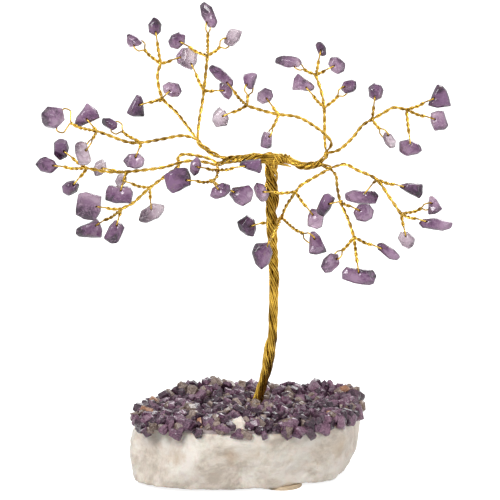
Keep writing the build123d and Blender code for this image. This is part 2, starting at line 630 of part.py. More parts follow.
def make_bed():
    """The small chips of the bed by tone, laid in offset rows."""
    outline = bed_outline(RESIN_COVER_SHARE)
    row_gap = GRIT_SPACING * sin(radians(60))
    rows, columns = int(BLOCK_DEPTH / row_gap) + 1, int(BLOCK_LENGTH / GRIT_SPACING) + 1
    beds = {tone: [] for tone in GRIT_TONES}
    number = 0
    for row in range(-rows // 2, rows // 2 + 1):
        for column in range(-columns // 2, columns // 2 + 1):
            x, y = BLOCK_X + GRIT_SPACING * (column + (row % 2) / 2), BLOCK_Y + row_gap * row
            number += 1
            near = hypot(x - SOCKET[0], y - SOCKET[1]) < GRIT_SPACING / 2 + SOCKET_RADIUS + TRUNK_GUARD
            if near or not inside(outline, x, y):
                continue
            turn = number * TONE_STEP % TONE_TURNS
            tone = next(tone for tone, turns in GRIT_TONES.items() if turn in turns)
            lift = 1 - (1 - GRIT_LOW_SHARE) * (number * LIFT_STEP % LIFTS) / (LIFTS - 1)
            plane = Plane(origin=(x, y, BLOCK_TOP + RESIN_THICKNESS), z_dir=(0, 0, 1))
            plane = plane.rotated((0, 0, number * GOLDEN_TURN))
            size = GRIT_SPACING - GRIT_GAP
            with BuildPart() as grit:
                with BuildSketch(plane):
                    with BuildLine():
                        Polyline(*[(size * a, size * b) for a, b in GRIT_SHARES], close=True)
                    make_face()
                extrude(amount=GRIT_HEIGHT * lift, taper=GRIT_TAPER)
            grit.part.label = f"chip_{len(beds[tone]) + 1}"
            beds[tone].append(grit.part)
    return beds


def make_binding():
    """A few turns of wire that bind the start of the right bough."""
    line = smooth([place(*share) for share in BOUGH_SHARES["right"]], 2 * BOUGH_STATIONS)
    steps = BINDING_TURNS * BINDING_SIDES
    with BuildLine(mode=Mode.PRIVATE) as curve:
        Spline(*line)
    whole = curve.wire().length
    points = []
    for step in range(steps + 1):
        at = (BINDING_START + BINDING_LENGTH * step / steps) / whole
        tangent = curve.line % at
        over = UP - tangent * UP.dot(tangent)
        over = over.normalized()
        side = tangent.cross(over)
        turn = tau * step / BINDING_SIDES
        radius = BOUGH_RADIUS + BINDING_FIT + WIRE / 2
        points.append(curve.line @ at + (over * cos(turn) + side * sin(turn)) * radius)
    with BuildPart() as binding:
        add(run_wire(points, WIRE, LOOP_SIDES))
    binding.part.label = "binding_wire"
    return binding.part


os.makedirs("parts", exist_ok=True)
save([make_block()], "base_block")
save([make_pad(f"pad_{pad_name}", pad_share) for pad_name, pad_share in PAD_SHARES.items()], "pads")
save([make_resin()], "resin")
for tone_name, grit_chips in make_bed().items():
    save(grit_chips, f"bed_chips_{tone_name}")
save([make_binding()], "binding_wire")
for branch_name, branch_line in lay_branches().items():
    wire_part, branch_chips = make_branch(branch_name, branch_line)
    save([wire_part], f"wire_{branch_name}")
    tight = []
    for chip_number, drilled in enumerate(branch_chips, 1):
        if drilled.loose:
            loose_name = f"loose_chip_{branch_name}_{chip_number}"
            save([drilled.body(loose_name)], loose_name)
        else:
            tight.append(drilled.body(f"chip_{chip_number}"))
    save(tight, f"chips_{branch_name}")
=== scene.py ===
"""Dresses a gemstone tree of twisted gilt wire, drilled amethyst chips, a bed of chips and a quartz block.

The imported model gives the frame. The crown's wires are laid out again from the same places as the solids, and
wound as pairs of round wire. The chips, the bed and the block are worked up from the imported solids' places.
"""

import logging
import random
from cmath import exp
from dataclasses import dataclass, field
from enum import Enum
from itertools import permutations
from math import atan2, cos, degrees, hypot, pi, radians, sin, tau

import bmesh
import bpy
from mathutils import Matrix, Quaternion, Vector, noise


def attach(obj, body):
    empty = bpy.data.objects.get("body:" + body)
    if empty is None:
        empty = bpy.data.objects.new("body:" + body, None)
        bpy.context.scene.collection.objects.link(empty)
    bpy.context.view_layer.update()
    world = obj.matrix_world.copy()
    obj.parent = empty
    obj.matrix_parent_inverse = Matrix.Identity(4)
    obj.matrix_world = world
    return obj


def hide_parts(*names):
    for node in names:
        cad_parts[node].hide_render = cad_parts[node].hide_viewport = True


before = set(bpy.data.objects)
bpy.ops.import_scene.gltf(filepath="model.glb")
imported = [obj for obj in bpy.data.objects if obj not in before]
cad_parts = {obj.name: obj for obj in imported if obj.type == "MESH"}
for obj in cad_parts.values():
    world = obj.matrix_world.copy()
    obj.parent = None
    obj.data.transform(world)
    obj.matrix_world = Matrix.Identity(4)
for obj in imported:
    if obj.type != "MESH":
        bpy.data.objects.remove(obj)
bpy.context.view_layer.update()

LOG = logging.getLogger("gemstone_tree")
MM = 0.001

# The layout board, the block, the wires, the drilled chips and the bed, in millimetres and degrees. They are
# the solids' own sizes, apart from the numbers of stations and steps.
BOARD = 175.0
BOARD_MIDDLE_SHARE = 0.49
BOARD_FLOOR_SHARE = 0.95
SIGHT_TILT = 16.0
BLOCK_X = 0.5
BLOCK_Y = 3.54
BLOCK_LENGTH = 81.0
BLOCK_DEPTH = 55.0
BLOCK_TOP = 22.6
SOCKET_DEPTH = 11.0
SOCKET_X = 3.6
SOCKET_Y = 5.0
SOCKET_LEAD = 2.0
WIRE = 0.5
RING_STRANDS = 9
CORE_STRANDS = 3
GROUP_STRANDS = 3
TRUNK_STATIONS = 60
BOUGH_STATIONS = 16
GROUP_STATIONS = 6
CHIP = 7.0
CHIP_EDGE = 1.5
LOOP_GAP = 0.25
LOOP_NECK = 1.3
LOOP_CORNER = 0.25
LOOP_STATIONS = 36
STEM_STATIONS_LEAST = 8
FIRST_FORK_CHIPS = 2
LOOSE_SWING = 30
TIGHT_SWING = 10
SWING_STEPS = 6
STEM_SAG_SHARE = 0.06
RIM_RIGHT = 0.02
RIM_BACK = -0.05
RESIN_THICKNESS = 1.2
GRIT_HEIGHT = 3.4

# Outlines of the drilled chips, as shares of their length and breadth. The narrow end comes first.
OUTLINE_SHARES = {
    "oval": [
        (-0.5, 0.0), (-0.33, -0.4), (0.1, -0.5), (0.42, -0.32), (0.5, 0.1), (0.25, 0.47), (-0.25, 0.42)],
    "wedge": [
        (-0.5, -0.12), (-0.2, -0.28), (0.42, -0.5), (0.5, -0.1), (0.4, 0.5), (-0.25, 0.3), (-0.48, 0.1)],
    "slab": [
        (-0.48, -0.36), (-0.1, -0.5), (0.44, -0.42), (0.5, 0.2), (0.36, 0.5), (-0.4, 0.44), (-0.5, 0.1)],
    "spar": [
        (-0.5, 0.05), (-0.38, -0.34), (0.2, -0.5), (0.46, -0.26), (0.5, 0.16), (0.1, 0.46), (-0.36, 0.42)],
    "shield": [
        (-0.44, -0.36), (-0.1, -0.5), (0.3, -0.3), (0.5, 0.0), (0.28, 0.34), (-0.14, 0.5), (-0.5, 0.3)],
    "leaf": [
        (-0.5, 0.04), (-0.3, -0.32), (0.08, -0.5), (0.36, -0.3), (0.5, -0.04), (0.2, 0.42), (-0.22, 0.46)],
}

# Axes of the trunk, the two boughs and the four groups of strands that they part into. Each place is
# (across, down, back) as shares of the board.
TRUNK_SHARES = [
    (0.519, 0.790, 0.029), (0.531, 0.748, 0.026), (0.540, 0.700, 0.023), (0.546, 0.660, 0.020),
    (0.547, 0.600, 0.020), (0.548, 0.540, 0.020), (0.544, 0.480, 0.017), (0.544, 0.400, 0.014),
    (0.543, 0.330, 0.011),
]
BOUGH_SHARES = {
    "left": [(0.531, 0.318, 0.011), (0.512, 0.315, 0.009), (0.494, 0.316, 0.006), (0.470, 0.318, 0.003),
             (0.452, 0.320, 0.000)],
    "right": [(0.555, 0.318, 0.011), (0.572, 0.317, 0.009), (0.590, 0.326, 0.006), (0.608, 0.332, 0.003),
              (0.628, 0.331, 0.000), (0.640, 0.326, 0.000)],
}
HEAD_SHARES = (0.543, 0.321, 0.011)
GROUP_SHARES = {
    "left_high": [(0.431, 0.311, 0.000), (0.413, 0.299, 0.000), (0.399, 0.287, 0.000), (0.393, 0.277, 0.000)],
    "left_low": [(0.441, 0.327, -0.004), (0.434, 0.329, -0.006)],
    "right_high": [(0.650, 0.315, 0.000), (0.653, 0.305, 0.000)],
    "right_low": [(0.653, 0.334, -0.006), (0.663, 0.337, -0.010)],
}

# Where the binding comes over the trunk's head and how far each next length of it moves, and the way of the
# bridging wires over the head as (across, down), with what their number adds to it.
BINDING_SHARES = [(0.505, 0.3115, 0.004), (0.525, 0.309, -0.002), (0.543, 0.3085, 0.004)]
BINDING_MOVE_SHARES = [(0.0, -0.002, 0.0), (0.0, 0.0, 0.004), (0.0, -0.001, 0.0)]
BRIDGE_SHARES = [(0.500, 0.3103), (0.530, 0.3093), (0.552, 0.3113), (0.577, 0.3163)]
BRIDGE_DROP_SHARE = 0.0024
BRIDGE_BACK_SHARE = 0.004
BRIDGE_ROW_SHARE = 0.002
BRIDGE_END_SHARE = 0.005

# Each branch is (group, first run, first fork, second run, second fork, chips), with places as above. Each
# chip is (across, down, back, length, breadth, thickness, lean, turn, outline, loose): its three sizes are
# shares of CHIP, lean is the way that its long axis points and turn is how far it is turned edge on, both in
# degrees. The first two chips hang from the first fork and the other three from the second. A loose chip can
# turn on its loop.
BRANCH_SHARES = {
    "upper_left": ("left_high", [(0.364, 0.272, -0.017), (0.324, 0.279, -0.034)], (0.284, 0.286, -0.057),
                   [(0.256, 0.285, -0.068), (0.214, 0.270, -0.085)], (0.196, 0.264, -0.097), [
        (0.220, 0.248, -0.045, 0.90, 0.60, 0.45, 168, 80, "spar", True),
        (0.269, 0.322, -0.075, 1.05, 0.80, 0.42, 0, 0, "oval", False),
        (0.172, 0.236, -0.090, 1.30, 0.95, 0.50, 40, 0, "wedge", False),
        (0.108, 0.236, -0.115, 1.30, 0.95, 1.05, 180, 75, "oval", True),
        (0.167, 0.308, -0.125, 1.25, 0.72, 0.42, -75, 15, "slab", True)]),
    "top_left": ("left_high", [(0.355, 0.227, 0.057)], (0.325, 0.196, 0.086),
                 [(0.315, 0.154, 0.108)], (0.321, 0.127, 0.120), [
        (0.274, 0.212, 0.075, 1.10, 0.90, 0.45, -100, 0, "wedge", False),
        (0.344, 0.178, 0.070, 1.00, 0.75, 0.45, -20, 0, "oval", False),
        (0.310, 0.054, 0.130, 0.95, 0.72, 0.45, 100, 0, "leaf", False),
        (0.269, 0.082, 0.135, 0.85, 0.80, 0.50, 180, 50, "wedge", True),
        (0.368, 0.112, 0.125, 0.95, 0.72, 0.42, 50, 0, "oval", False)]),
    "top_inner": ("left_high", [(0.399, 0.240, 0.006), (0.405, 0.204, 0.011)], (0.408, 0.182, 0.011),
                  [(0.412, 0.143, 0.011)], (0.415, 0.113, 0.011), [
        (0.378, 0.118, 0.042, 1.05, 0.80, 0.45, 75, 0, "slab", False),
        (0.453, 0.182, 0.015, 1.00, 0.68, 0.42, -75, 0, "shield", False),
        (0.355, 0.082, 0.035, 0.95, 0.75, 0.50, 215, 0, "oval", False),
        (0.417, 0.032, 0.000, 1.45, 0.74, 0.45, 120, 20, "spar", True),
        (0.466, 0.076, 0.030, 1.00, 0.80, 0.45, 70, 50, "slab", True)]),
    "far_left": ("left_low", [(0.412, 0.325, -0.010), (0.384, 0.322, -0.013), (0.362, 0.325, -0.016),
                              (0.327, 0.335, -0.020), (0.284, 0.341, -0.030)], (0.254, 0.344, -0.040),
                 [(0.217, 0.344, -0.048)], (0.175, 0.337, -0.057), [
        (0.200, 0.336, -0.015, 1.00, 0.65, 0.40, 70, 0, "leaf", False),
        (0.239, 0.390, -0.060, 1.40, 0.90, 0.50, -5, 0, "slab", False),
        (0.123, 0.299, -0.055, 1.10, 0.80, 0.55, 85, 0, "oval", False),
        (0.094, 0.331, -0.075, 1.20, 0.80, 0.50, 175, 0, "leaf", False),
        (0.143, 0.376, -0.070, 0.95, 0.72, 0.60, 200, 0, "oval", False)]),
    "lower_left": ("left_low", [(0.420, 0.318, 0.004), (0.390, 0.311, 0.006), (0.366, 0.309, 0.009),
                                (0.356, 0.316, 0.012), (0.358, 0.330, 0.014), (0.345, 0.342, 0.016)],
                   (0.299, 0.376, 0.029), [(0.268, 0.404, 0.037)], (0.242, 0.418, 0.046), [
        (0.242, 0.361, 0.020, 0.70, 0.55, 0.45, 60, 0, "oval", False),
        (0.303, 0.426, 0.030, 1.60, 0.82, 0.42, 35, 0, "leaf", False),
        (0.177, 0.412, 0.050, 1.35, 1.28, 0.36, 80, 0, "slab", False),
        (0.176, 0.461, 0.065, 1.40, 0.98, 0.50, 12, 0, "wedge", False),
        (0.229, 0.465, 0.040, 1.15, 0.75, 0.50, 240, 0, "slab", False)]),
    "front_left": ("left_low", [], (0.436, 0.340, -0.035), [(0.434, 0.354, -0.060)], (0.425, 0.364, -0.080), [
        (0.391, 0.334, -0.060, 1.00, 0.58, 0.45, 85, 0, "leaf", False),
        (0.502, 0.331, -0.050, 1.15, 0.72, 0.50, -5, 0, "wedge", False),
        (0.356, 0.360, -0.100, 1.30, 1.10, 0.45, 200, 0, "slab", False),
        (0.440, 0.383, -0.105, 1.15, 0.70, 0.45, 25, 0, "oval", False),
        (0.484, 0.392, -0.070, 1.02, 1.28, 0.50, -86, 0, "shield", False)]),
    "back_centre": ("right_high", [(0.662, 0.290, -0.006), (0.653, 0.272, -0.017), (0.622, 0.249, -0.034),
                                   (0.594, 0.235, -0.051)], (0.557, 0.230, -0.069),
                    [(0.530, 0.224, -0.080)], (0.493, 0.213, -0.097), [
        (0.529, 0.193, -0.060, 0.90, 0.75, 0.42, 30, 0, "oval", False),
        (0.533, 0.281, -0.075, 0.85, 0.60, 0.50, -100, 15, "slab", False),
        (0.443, 0.154, -0.110, 1.50, 0.58, 0.40, 142, 0, "spar", False),
        (0.500, 0.164, -0.100, 0.85, 0.88, 0.45, 90, 40, "wedge", True),
        (0.441, 0.236, -0.105, 1.00, 0.85, 0.42, 95, 0, "shield", False)]),
    "top_right": ("right_high", [(0.650, 0.290, 0.006), (0.649, 0.257, 0.020)], (0.648, 0.216, 0.034),
                  [(0.642, 0.183, 0.040)], (0.631, 0.150, 0.046), [
        (0.607, 0.170, 0.030, 1.10, 0.85, 0.45, 160, 0, "wedge", False),
        (0.698, 0.173, 0.045, 0.90, 0.75, 0.45, 20, 40, "oval", True),
        (0.577, 0.124, 0.050, 1.40, 0.65, 0.50, 180, 30, "spar", False),
        (0.642, 0.098, 0.040, 0.80, 0.50, 0.40, -60, 0, "spar", False),
        (0.673, 0.130, 0.060, 0.95, 0.78, 0.45, -50, 0, "oval", False)]),
    "upper_right": ("right_high", [(0.678, 0.300, 0.012), (0.704, 0.277, 0.035), (0.724, 0.252, 0.060)],
                    (0.744, 0.239, 0.080), [(0.770, 0.224, 0.090), (0.788, 0.215, 0.100)],
                    (0.813, 0.219, 0.114), [
        (0.751, 0.184, 0.085, 0.90, 0.75, 0.55, 90, 0, "oval", False),
        (0.779, 0.280, 0.070, 0.95, 0.60, 0.45, -60, 30, "oval", True),
        (0.880, 0.192, 0.125, 1.15, 1.15, 0.55, -92, 0, "wedge", False),
        (0.878, 0.241, 0.115, 1.00, 0.80, 0.45, -75, 0, "slab", False),
        (0.822, 0.296, 0.100, 1.25, 0.85, 0.45, -8, 0, "shield", True)]),
    "far_right": ("right_low", [(0.690, 0.329, -0.020), (0.715, 0.341, -0.034)], (0.752, 0.359, -0.050),
                  [(0.779, 0.396, -0.066)], (0.801, 0.428, -0.080), [
        (0.723, 0.394, -0.045, 1.70, 0.70, 0.45, -5, 0, "slab", True),
        (0.822, 0.378, -0.060, 1.20, 0.75, 0.50, -15, 0, "wedge", False),
        (0.866, 0.410, -0.055, 1.05, 0.78, 0.45, -75, 30, "wedge", True),
        (0.870, 0.449, -0.105, 1.70, 0.62, 0.42, -2, 0, "spar", False),
        (0.812, 0.479, -0.090, 1.00, 0.70, 0.45, -50, 0, "oval", False)]),
    "lower_right": ("right_low", [(0.672, 0.352, -0.034), (0.674, 0.372, -0.060)], (0.680, 0.403, -0.097),
                    [(0.696, 0.440, -0.130)], (0.707, 0.474, -0.154), [
        (0.650, 0.410, -0.115, 1.20, 0.65, 0.50, 62, 0, "slab", False),
        (0.726, 0.425, -0.120, 1.00, 0.95, 0.42, 0, 0, "oval", False),
        (0.661, 0.526, -0.165, 1.14, 0.90, 0.45, 230, 30, "oval", True),
        (0.717, 0.552, -0.185, 1.70, 0.80, 0.45, -10, 0, "slab", False),
        (0.775, 0.503, -0.170, 1.30, 0.56, 0.42, -32, 0, "spar", False)]),
    "front_right": ("right_low", [(0.639, 0.349, -0.034), (0.603, 0.370, -0.034)], (0.591, 0.384, -0.030),
                    [(0.572, 0.412, 0.000)], (0.563, 0.434, 0.023), [
        (0.522, 0.384, -0.030, 1.05, 0.65, 0.42, -65, 0, "oval", False),
        (0.631, 0.438, -0.050, 0.95, 0.80, 0.42, -100, 0, "slab", False),
        (0.496, 0.454, 0.060, 1.10, 0.90, 0.50, -60, 0, "shield", False),
        (0.631, 0.486, -0.030, 1.30, 0.98, 0.50, -82, 35, "wedge", True),
        (0.524, 0.512, -0.040, 1.40, 1.05, 0.50, -92, 0, "shield", True)]),
}

# How much of the bed has each tone.
BED_TONE_SHARES = {"dark": 0.38, "violet": 0.40, "pale": 0.212, "amber": 0.008}

# Plan of the block, as shares of its half length and half depth.
BLOCK_PLAN_SHARES = [
    (-0.98, 0.01), (-0.97, -0.42), (-0.92, -0.71), (-0.80, -0.84), (-0.42, -0.96), (-0.15, -1.00),
    (0.25, -0.97), (0.47, -0.86), (0.69, -0.67), (0.86, -0.45), (0.98, 0.09), (1.00, 0.64), (0.93, 0.88),
    (0.68, 0.95), (0.10, 1.00), (-0.42, 0.97), (-0.60, 0.82), (-0.72, 0.48), (-0.88, 0.26),
]


class Tone(Enum):
    """How dark a drilled chip is."""

    DARK = "dark"
    MID = "mid"
    LIGHT = "light"
    PALE = "pale"


D, M, L, P = Tone.DARK, Tone.MID, Tone.LIGHT, Tone.PALE

# The tone of each branch's five chips, in the order of their rows.
BRANCH_TONES: dict[str, tuple[Tone, ...]] = {
    "upper_left": (D, L, M, L, P), "top_left": (D, L, D, L, L), "top_inner": (P, M, M, L, P),
    "far_left": (P, M, D, M, D), "lower_left": (P, P, L, M, M), "front_left": (M, D, D, M, M),
    "back_centre": (L, L, M, M, P), "top_right": (L, M, L, D, L), "upper_right": (M, P, D, L, M),
    "far_right": (M, D, L, M, P), "lower_right": (D, M, L, M, M), "front_right": (L, L, D, M, M),
}

RIGHT = Vector((1, 0, 0))
UP = Vector((0, sin(radians(SIGHT_TILT)), cos(radians(SIGHT_TILT))))
TO_VIEWER = Vector((0, -cos(radians(SIGHT_TILT)), sin(radians(SIGHT_TILT))))

# In millimetres: the distance between neighbours in a bundle of strands, and how close corners are joined.
SLOT_SPACING = 0.8
MERGE_DISTANCE = 0.01


def place(across_share: float, down_share: float, back_share: float) -> Vector:
    """Finds a point of the crown from its place on the layout board.

    Args:
        across_share: Distance from the board's left edge, as a share of the board.
        down_share: Distance from its top edge.
        back_share: Depth behind the board.

    Returns:
        The point, in millimetres.
    """
    back = BOARD * back_share
    up = BOARD * (BOARD_FLOOR_SHARE - down_share)
    across = BOARD * (across_share - BOARD_MIDDLE_SHARE)
    return Vector((BLOCK_X + across, BLOCK_Y + back, (up - back * UP.y) / UP.z))


def smooth(points: list[Vector], count: int) -> list[Vector]:
    """Spaces points evenly along a smooth curve through the given points.

    Args:
        points: Points that the curve passes through.
        count: Number of steps along it.

    Returns:
        One point more than there are steps.
    """
    ends = [points[0] * 2 - points[1], *points, points[-1] * 2 - points[-2]]
    marks = [0.0]
    for before, after in zip(points, points[1:]):
        marks.append(marks[-1] + (after - before).length)
    curve = []
    run = 0
    for step in range(count + 1):
        along = marks[-1] * step / count
        while run < len(points) - 2 and marks[run + 1] <= along:
            run += 1
        t = (along - marks[run]) / (marks[run + 1] - marks[run])
        a, b, c, d = ends[run:run + 4]
        bend = (a * 2 - b * 5 + c * 4 - d) * t**2 + (b * 3 - a - c * 3 + d) * t**3
        curve.append(b + ((c - a) * t + bend) / 2)
    return curve


def frames(stations: list[Vector], side: Vector) -> list[tuple[Vector, Vector]]:
    """Carries two directions square to a line along it, with no twist.

    Args:
        stations: Points of the line.
        side: A direction roughly square to its start.

    Returns:
        The pair of directions at each station.
    """
    pairs = []
    for here in range(len(stations)):
        tangent = (stations[min(here + 1, len(stations) - 1)] - stations[max(here - 1, 0)]).normalized()
        side = (side - tangent * side.dot(tangent)).normalized()
        pairs.append((side, tangent.cross(side)))
    return pairs


def ring(count: int) -> list[complex]:
    """Places strands side by side in a ring."""
    radius = SLOT_SPACING / (2 * sin(pi / count))
    return [radius * exp(1j * tau * number / count) for number in range(count)]


def nearest_slots(offsets: list[complex], slots: list[complex], turns: int = 36) -> list[complex]:
    """Picks the slot for each offset that moves the strands least.

    Args:
        offsets: Where the strands are.
        slots: The free slots, which may be turned together.
        turns: Number of turned positions to try.

    Returns:
        A slot for each offset.
    """
    tries = []
    for turn in range(turns):
        turned = [slot * exp(1j * tau * turn / turns) for slot in slots]
        for order in permutations(turned):
            tries.append((sum(abs(a - b) ** 2 for a, b in zip(offsets, order)), turn, order))
    return list(min(tries, key=lambda tried: tried[:2])[2])


@dataclass
class Wire:
    """One wire: its points, its radius at each in millimetres, and whether it takes the darker gilt of painted
    shade.
    """

    points: list[Vector]
    radii: list[float]
    painted_shade: bool = False


@dataclass
class Strand:
    """A pair of wires on its way up the tree: its slot in the bundle, its points and the ways outwards."""

    slot: complex
    points: list[Vector] = field(default_factory=list)
    outward: list[Vector] = field(default_factory=list)


@dataclass
class Bundle:
    """The twelve strands' way through the trunk, the boughs and the groups.

    Distances along the tree are in millimetres from the trunk's foot. The twist is slow in the trunk's lower
    part, tighter above and tightest in the boughs. The girths pair such distances with shares of the bundle's
    usual radius. Outer strands huddle by threes, and each wobbles a little out and in.
    """

    pitch: float = 33.0
    rope: int = 3
    huddle: float = 12.0
    core_spread: float = 1.3
    tight_pitch: float = 22.0
    tight_from: float = 55.0
    rope_pitch: float = 12.0
    rope_from: float = 104.0
    wobble: float = 0.10
    wobble_rate: float = 0.5
    wobble_apart: float = 2.4
    girths: tuple[tuple[float, float], ...] = (
        (0, 1.05), (15, 1.08), (19, 1.02), (24, 1.14), (28, 1.24), (31, 1.42), (35, 1.15), (38, 0.98),
        (54, 0.98), (61, 1.02), (74, 1.08), (83, 1.18), (87, 1.4), (90, 1.55), (93, 1.5), (97, 1.8),
        (101, 1.4), (122, 1.2), (130, 1.0))

    def twist(self, travelled: float) -> complex:
        """Says how far the strands have turned round their bundle.

        Args:
            travelled: Distance along the tree.

        Returns:
            The turn, as a point of the unit circle.
        """
        tight = max(travelled - self.tight_from, 0.0)
        roped = max(travelled - self.rope_from, 0.0)
        turned = (travelled - tight) / self.pitch + (tight - roped) / self.tight_pitch
        turned += roped / self.rope_pitch
        return exp(-1j * tau * turned)

    def girth(self, travelled: float) -> float:
        """Says how loosely the bundle lies.

        Args:
            travelled: Distance along the tree.

        Returns:
            Its radius there, as a share of its usual one.
        """
        for (start, low), (end, high) in zip(self.girths, self.girths[1:]):
            if start <= travelled < end:
                return low + (high - low) * (travelled - start) / (end - start)
        return 1.0

    def advance(self, strands: list[Strand], stations: list[Vector], side: Vector,
                travelled: float) -> tuple[Vector, float]:
        """Carries strands along an axis.

        Args:
            strands: Strands that are twisted together.
            stations: Points of the axis.
            side: Direction that the slots are measured from.
            travelled: Distance along the tree so far.

        Returns:
            The side direction and the distance at the axis's end.
        """
        pairs = frames(stations, side)
        for here, (x_dir, y_dir) in enumerate(pairs):
            if here:
                travelled += (stations[here] - stations[here - 1]).length
            twist = self.twist(travelled) * self.girth(travelled)
            for number, strand in enumerate(strands):
                sway = sin(self.wobble_rate * travelled + self.wobble_apart * number)
                offset = strand.slot * twist * (1 + self.wobble * sway)
                out = x_dir * offset.real + y_dir * offset.imag
                if here or not strand.points:
                    strand.points.append(stations[here] + out)
                    strand.outward.append(out if out.length > WIRE / 2 else x_dir * WIRE)
        return pairs[-1][0], travelled

    def regroup(self, strands: list[Strand], slots: list[complex], travelled: float) -> None:
        """Moves strands into the slots of a smaller bundle.

        Args:
            strands: Strands that part from the others.
            slots: Slots of the smaller bundle.
            travelled: Distance along the tree so far.
        """
        twist = self.twist(travelled)
        offsets = [strand.slot * twist for strand in strands]
        middle = sum(offsets) / len(offsets)
        for strand, slot in zip(strands, nearest_slots([offset - middle for offset in offsets], slots)):
            strand.slot = slot / twist

    def lay(self) -> dict[str, Strand]:
        """Leads the strands up the trunk, along their bough and group.

        Returns:
            The strand of each branch.
        """
        core = [slot * self.core_spread * exp(1j * pi / RING_STRANDS) for slot in ring(CORE_STRANDS)]
        shifts = [(number % self.rope - 1) * -self.huddle for number in range(RING_STRANDS)]
        outer = [slot * exp(1j * radians(shift)) for slot, shift in zip(ring(RING_STRANDS), shifts)]
        strands = [Strand(slot) for slot in outer + core]
        foot = Vector((BLOCK_X + SOCKET_X, BLOCK_Y + SOCKET_Y, BLOCK_TOP))
        start = foot - Vector((0, 0, SOCKET_DEPTH - SOCKET_LEAD))
        trunk = smooth([start, foot] + [place(*share) for share in TRUNK_SHARES], TRUNK_STATIONS)
        side, travelled = self.advance(strands, trunk, RIGHT, 0.0)
        twist = self.twist(travelled)
        strands.sort(key=lambda strand: (strand.slot * twist).real)
        led = {}
        parted = len(strands) // 2
        circle = [SLOT_SPACING * exp(1j * tau * n / (parted - 1)) for n in range(parted - 1)]
        for bough, half in (("left", strands[:parted]), ("right", strands[parted:])):
            self.regroup(half, [0] + circle, travelled)
            arm = [trunk[-1]] + smooth([place(*share) for share in BOUGH_SHARES[bough]], BOUGH_STATIONS)
            bough_side, reached = self.advance(half, arm, side, travelled)
            over = (arm[-1] - arm[-2]).normalized().cross(bough_side)
            high, low = (place(*GROUP_SHARES[f"{bough}_{level}"][0]) for level in ("high", "low"))
            toward = complex((high - low).dot(bough_side), (high - low).dot(over))
            twist = self.twist(reached)
            half.sort(key=lambda strand: -(strand.slot * twist * toward.conjugate()).real)
            for level, three in (("high", half[:GROUP_STRANDS]), ("low", half[GROUP_STRANDS:])):
                self.regroup(three, ring(GROUP_STRANDS), reached)
                group = f"{bough}_{level}"
                line = [arm[-1]] + smooth([place(*share) for share in GROUP_SHARES[group]], GROUP_STATIONS)
                self.advance(three, line, bough_side, reached)
                names = [name for name, branch in BRANCH_SHARES.items() if branch[0] == group]
                aims = [place(*(BRANCH_SHARES[name][1] + [BRANCH_SHARES[name][2]])[0]) for name in names]
                order = min(permutations(three), key=lambda tried: sum(
                    (strand.points[-1] - aim).length for strand, aim in zip(tried, aims)))
                led |= dict(zip(names, order))
        return led


def reach(outline: list[tuple[float, float]], angle: float) -> float:
    """Measures how far an outline lies from its origin in a direction.

    Args:
        outline: Corners of the outline.
        angle: Direction, in degrees.

    Returns:
        The distance.
    """
    ray = exp(1j * radians(angle))
    found = 0.0
    for (x0, y0), (x1, y1) in zip(outline, outline[1:] + outline[:1]):
        start, end = complex(x0, y0) / ray, complex(x1, y1) / ray
        if (start.imag > 0) != (end.imag > 0):
            found = max(found, start.real + (end.real - start.real) * start.imag / (start.imag - end.imag))
    return found


class DrilledChip:
    """A drilled chip's place, its hole and the wire loop through it."""

    waist_share = 0.55

    def __init__(self, fork: Vector, row: tuple) -> None:
        """Works out where the chip hangs.

        Args:
            fork: Point of the branch that the chip's stem leaves from.
            row: The chip's row in its branch's table.
        """
        across, down, back, length, breadth, thickness, lean, turn, outline, self.loose = row
        centre = place(across, down, back)
        flat = TO_VIEWER.cross((fork - centre).cross(TO_VIEWER)).normalized()
        turned = Quaternion(flat, radians(turn))
        self.axis = turned @ TO_VIEWER
        self.long_way = turned @ (RIGHT * cos(radians(lean)) + UP * sin(radians(lean)))
        self.thickness = thickness * CHIP
        # Share of the painted rim shade that the chip takes: less as it is turned edge on.
        self.faced = cos(radians(turn))
        self.to_neck = flat
        self.fork = fork
        shape = [(length * CHIP * x, breadth * CHIP * y) for x, y in OUTLINE_SHARES[outline]]
        heading = degrees(atan2(flat.dot(self.axis.cross(self.long_way)), flat.dot(self.long_way)))
        inset = max(reach(shape, heading) - CHIP_EDGE, 0.0)
        hole = inset * exp(1j * radians(heading))
        self.hole = centre + flat * inset
        edges = [(x - hole.real, y - hole.imag) for x, y in shape]
        swing = LOOSE_SWING if self.loose else TIGHT_SWING
        angles = [heading + swing * step / SWING_STEPS for step in range(-SWING_STEPS, SWING_STEPS + 1)]
        self.edge = max(reach(edges, angle) for angle in angles)

    def wire(self, pair: "WirePair") -> Wire:
        """Leads one length of wire from the fork to the chip, through its hole and back round itself.

        Args:
            pair: The way in which the stem is twisted.

        Returns:
            The wire.
        """
        stand = self.thickness / 2 + (LOOP_GAP if self.loose else 0) + WIRE / 2
        shoulder = self.edge + LOOP_GAP + WIRE / 2
        neck = self.hole + self.to_neck * (shoulder + LOOP_NECK)
        span = (neck - self.fork).length
        bend = neck + self.to_neck * (span / 3) + UP * (-STEM_SAG_SHARE * span)
        stem = smooth([neck, bend, self.fork], max(STEM_STATIONS_LEAST, int(span / pair.step)))
        near, far = pair.wind(stem, [self.axis] * len(stem), 0)
        half = [(shoulder + LOOP_NECK * self.waist_share, stand * self.waist_share), (shoulder, stand),
                (LOOP_CORNER * 2, stand), (0, stand / 2)]
        legs = [self.hole + self.to_neck * out + self.axis * off for out, off in half]
        legs.append(self.hole.copy())
        legs += [self.hole + self.to_neck * out - self.axis * off for out, off in reversed(half)]
        loop = smooth([near.points[0], *legs, far.points[0]], LOOP_STATIONS)[1:-1]
        radii = [pair.thick] * len(near.points) + [pair.thin] * len(loop) + [pair.thick] * len(far.points)
        # A loose chip's whole wire takes the darker gilt of painted shade.
        return Wire(near.points[::-1] + loop + far.points, radii, self.loose)


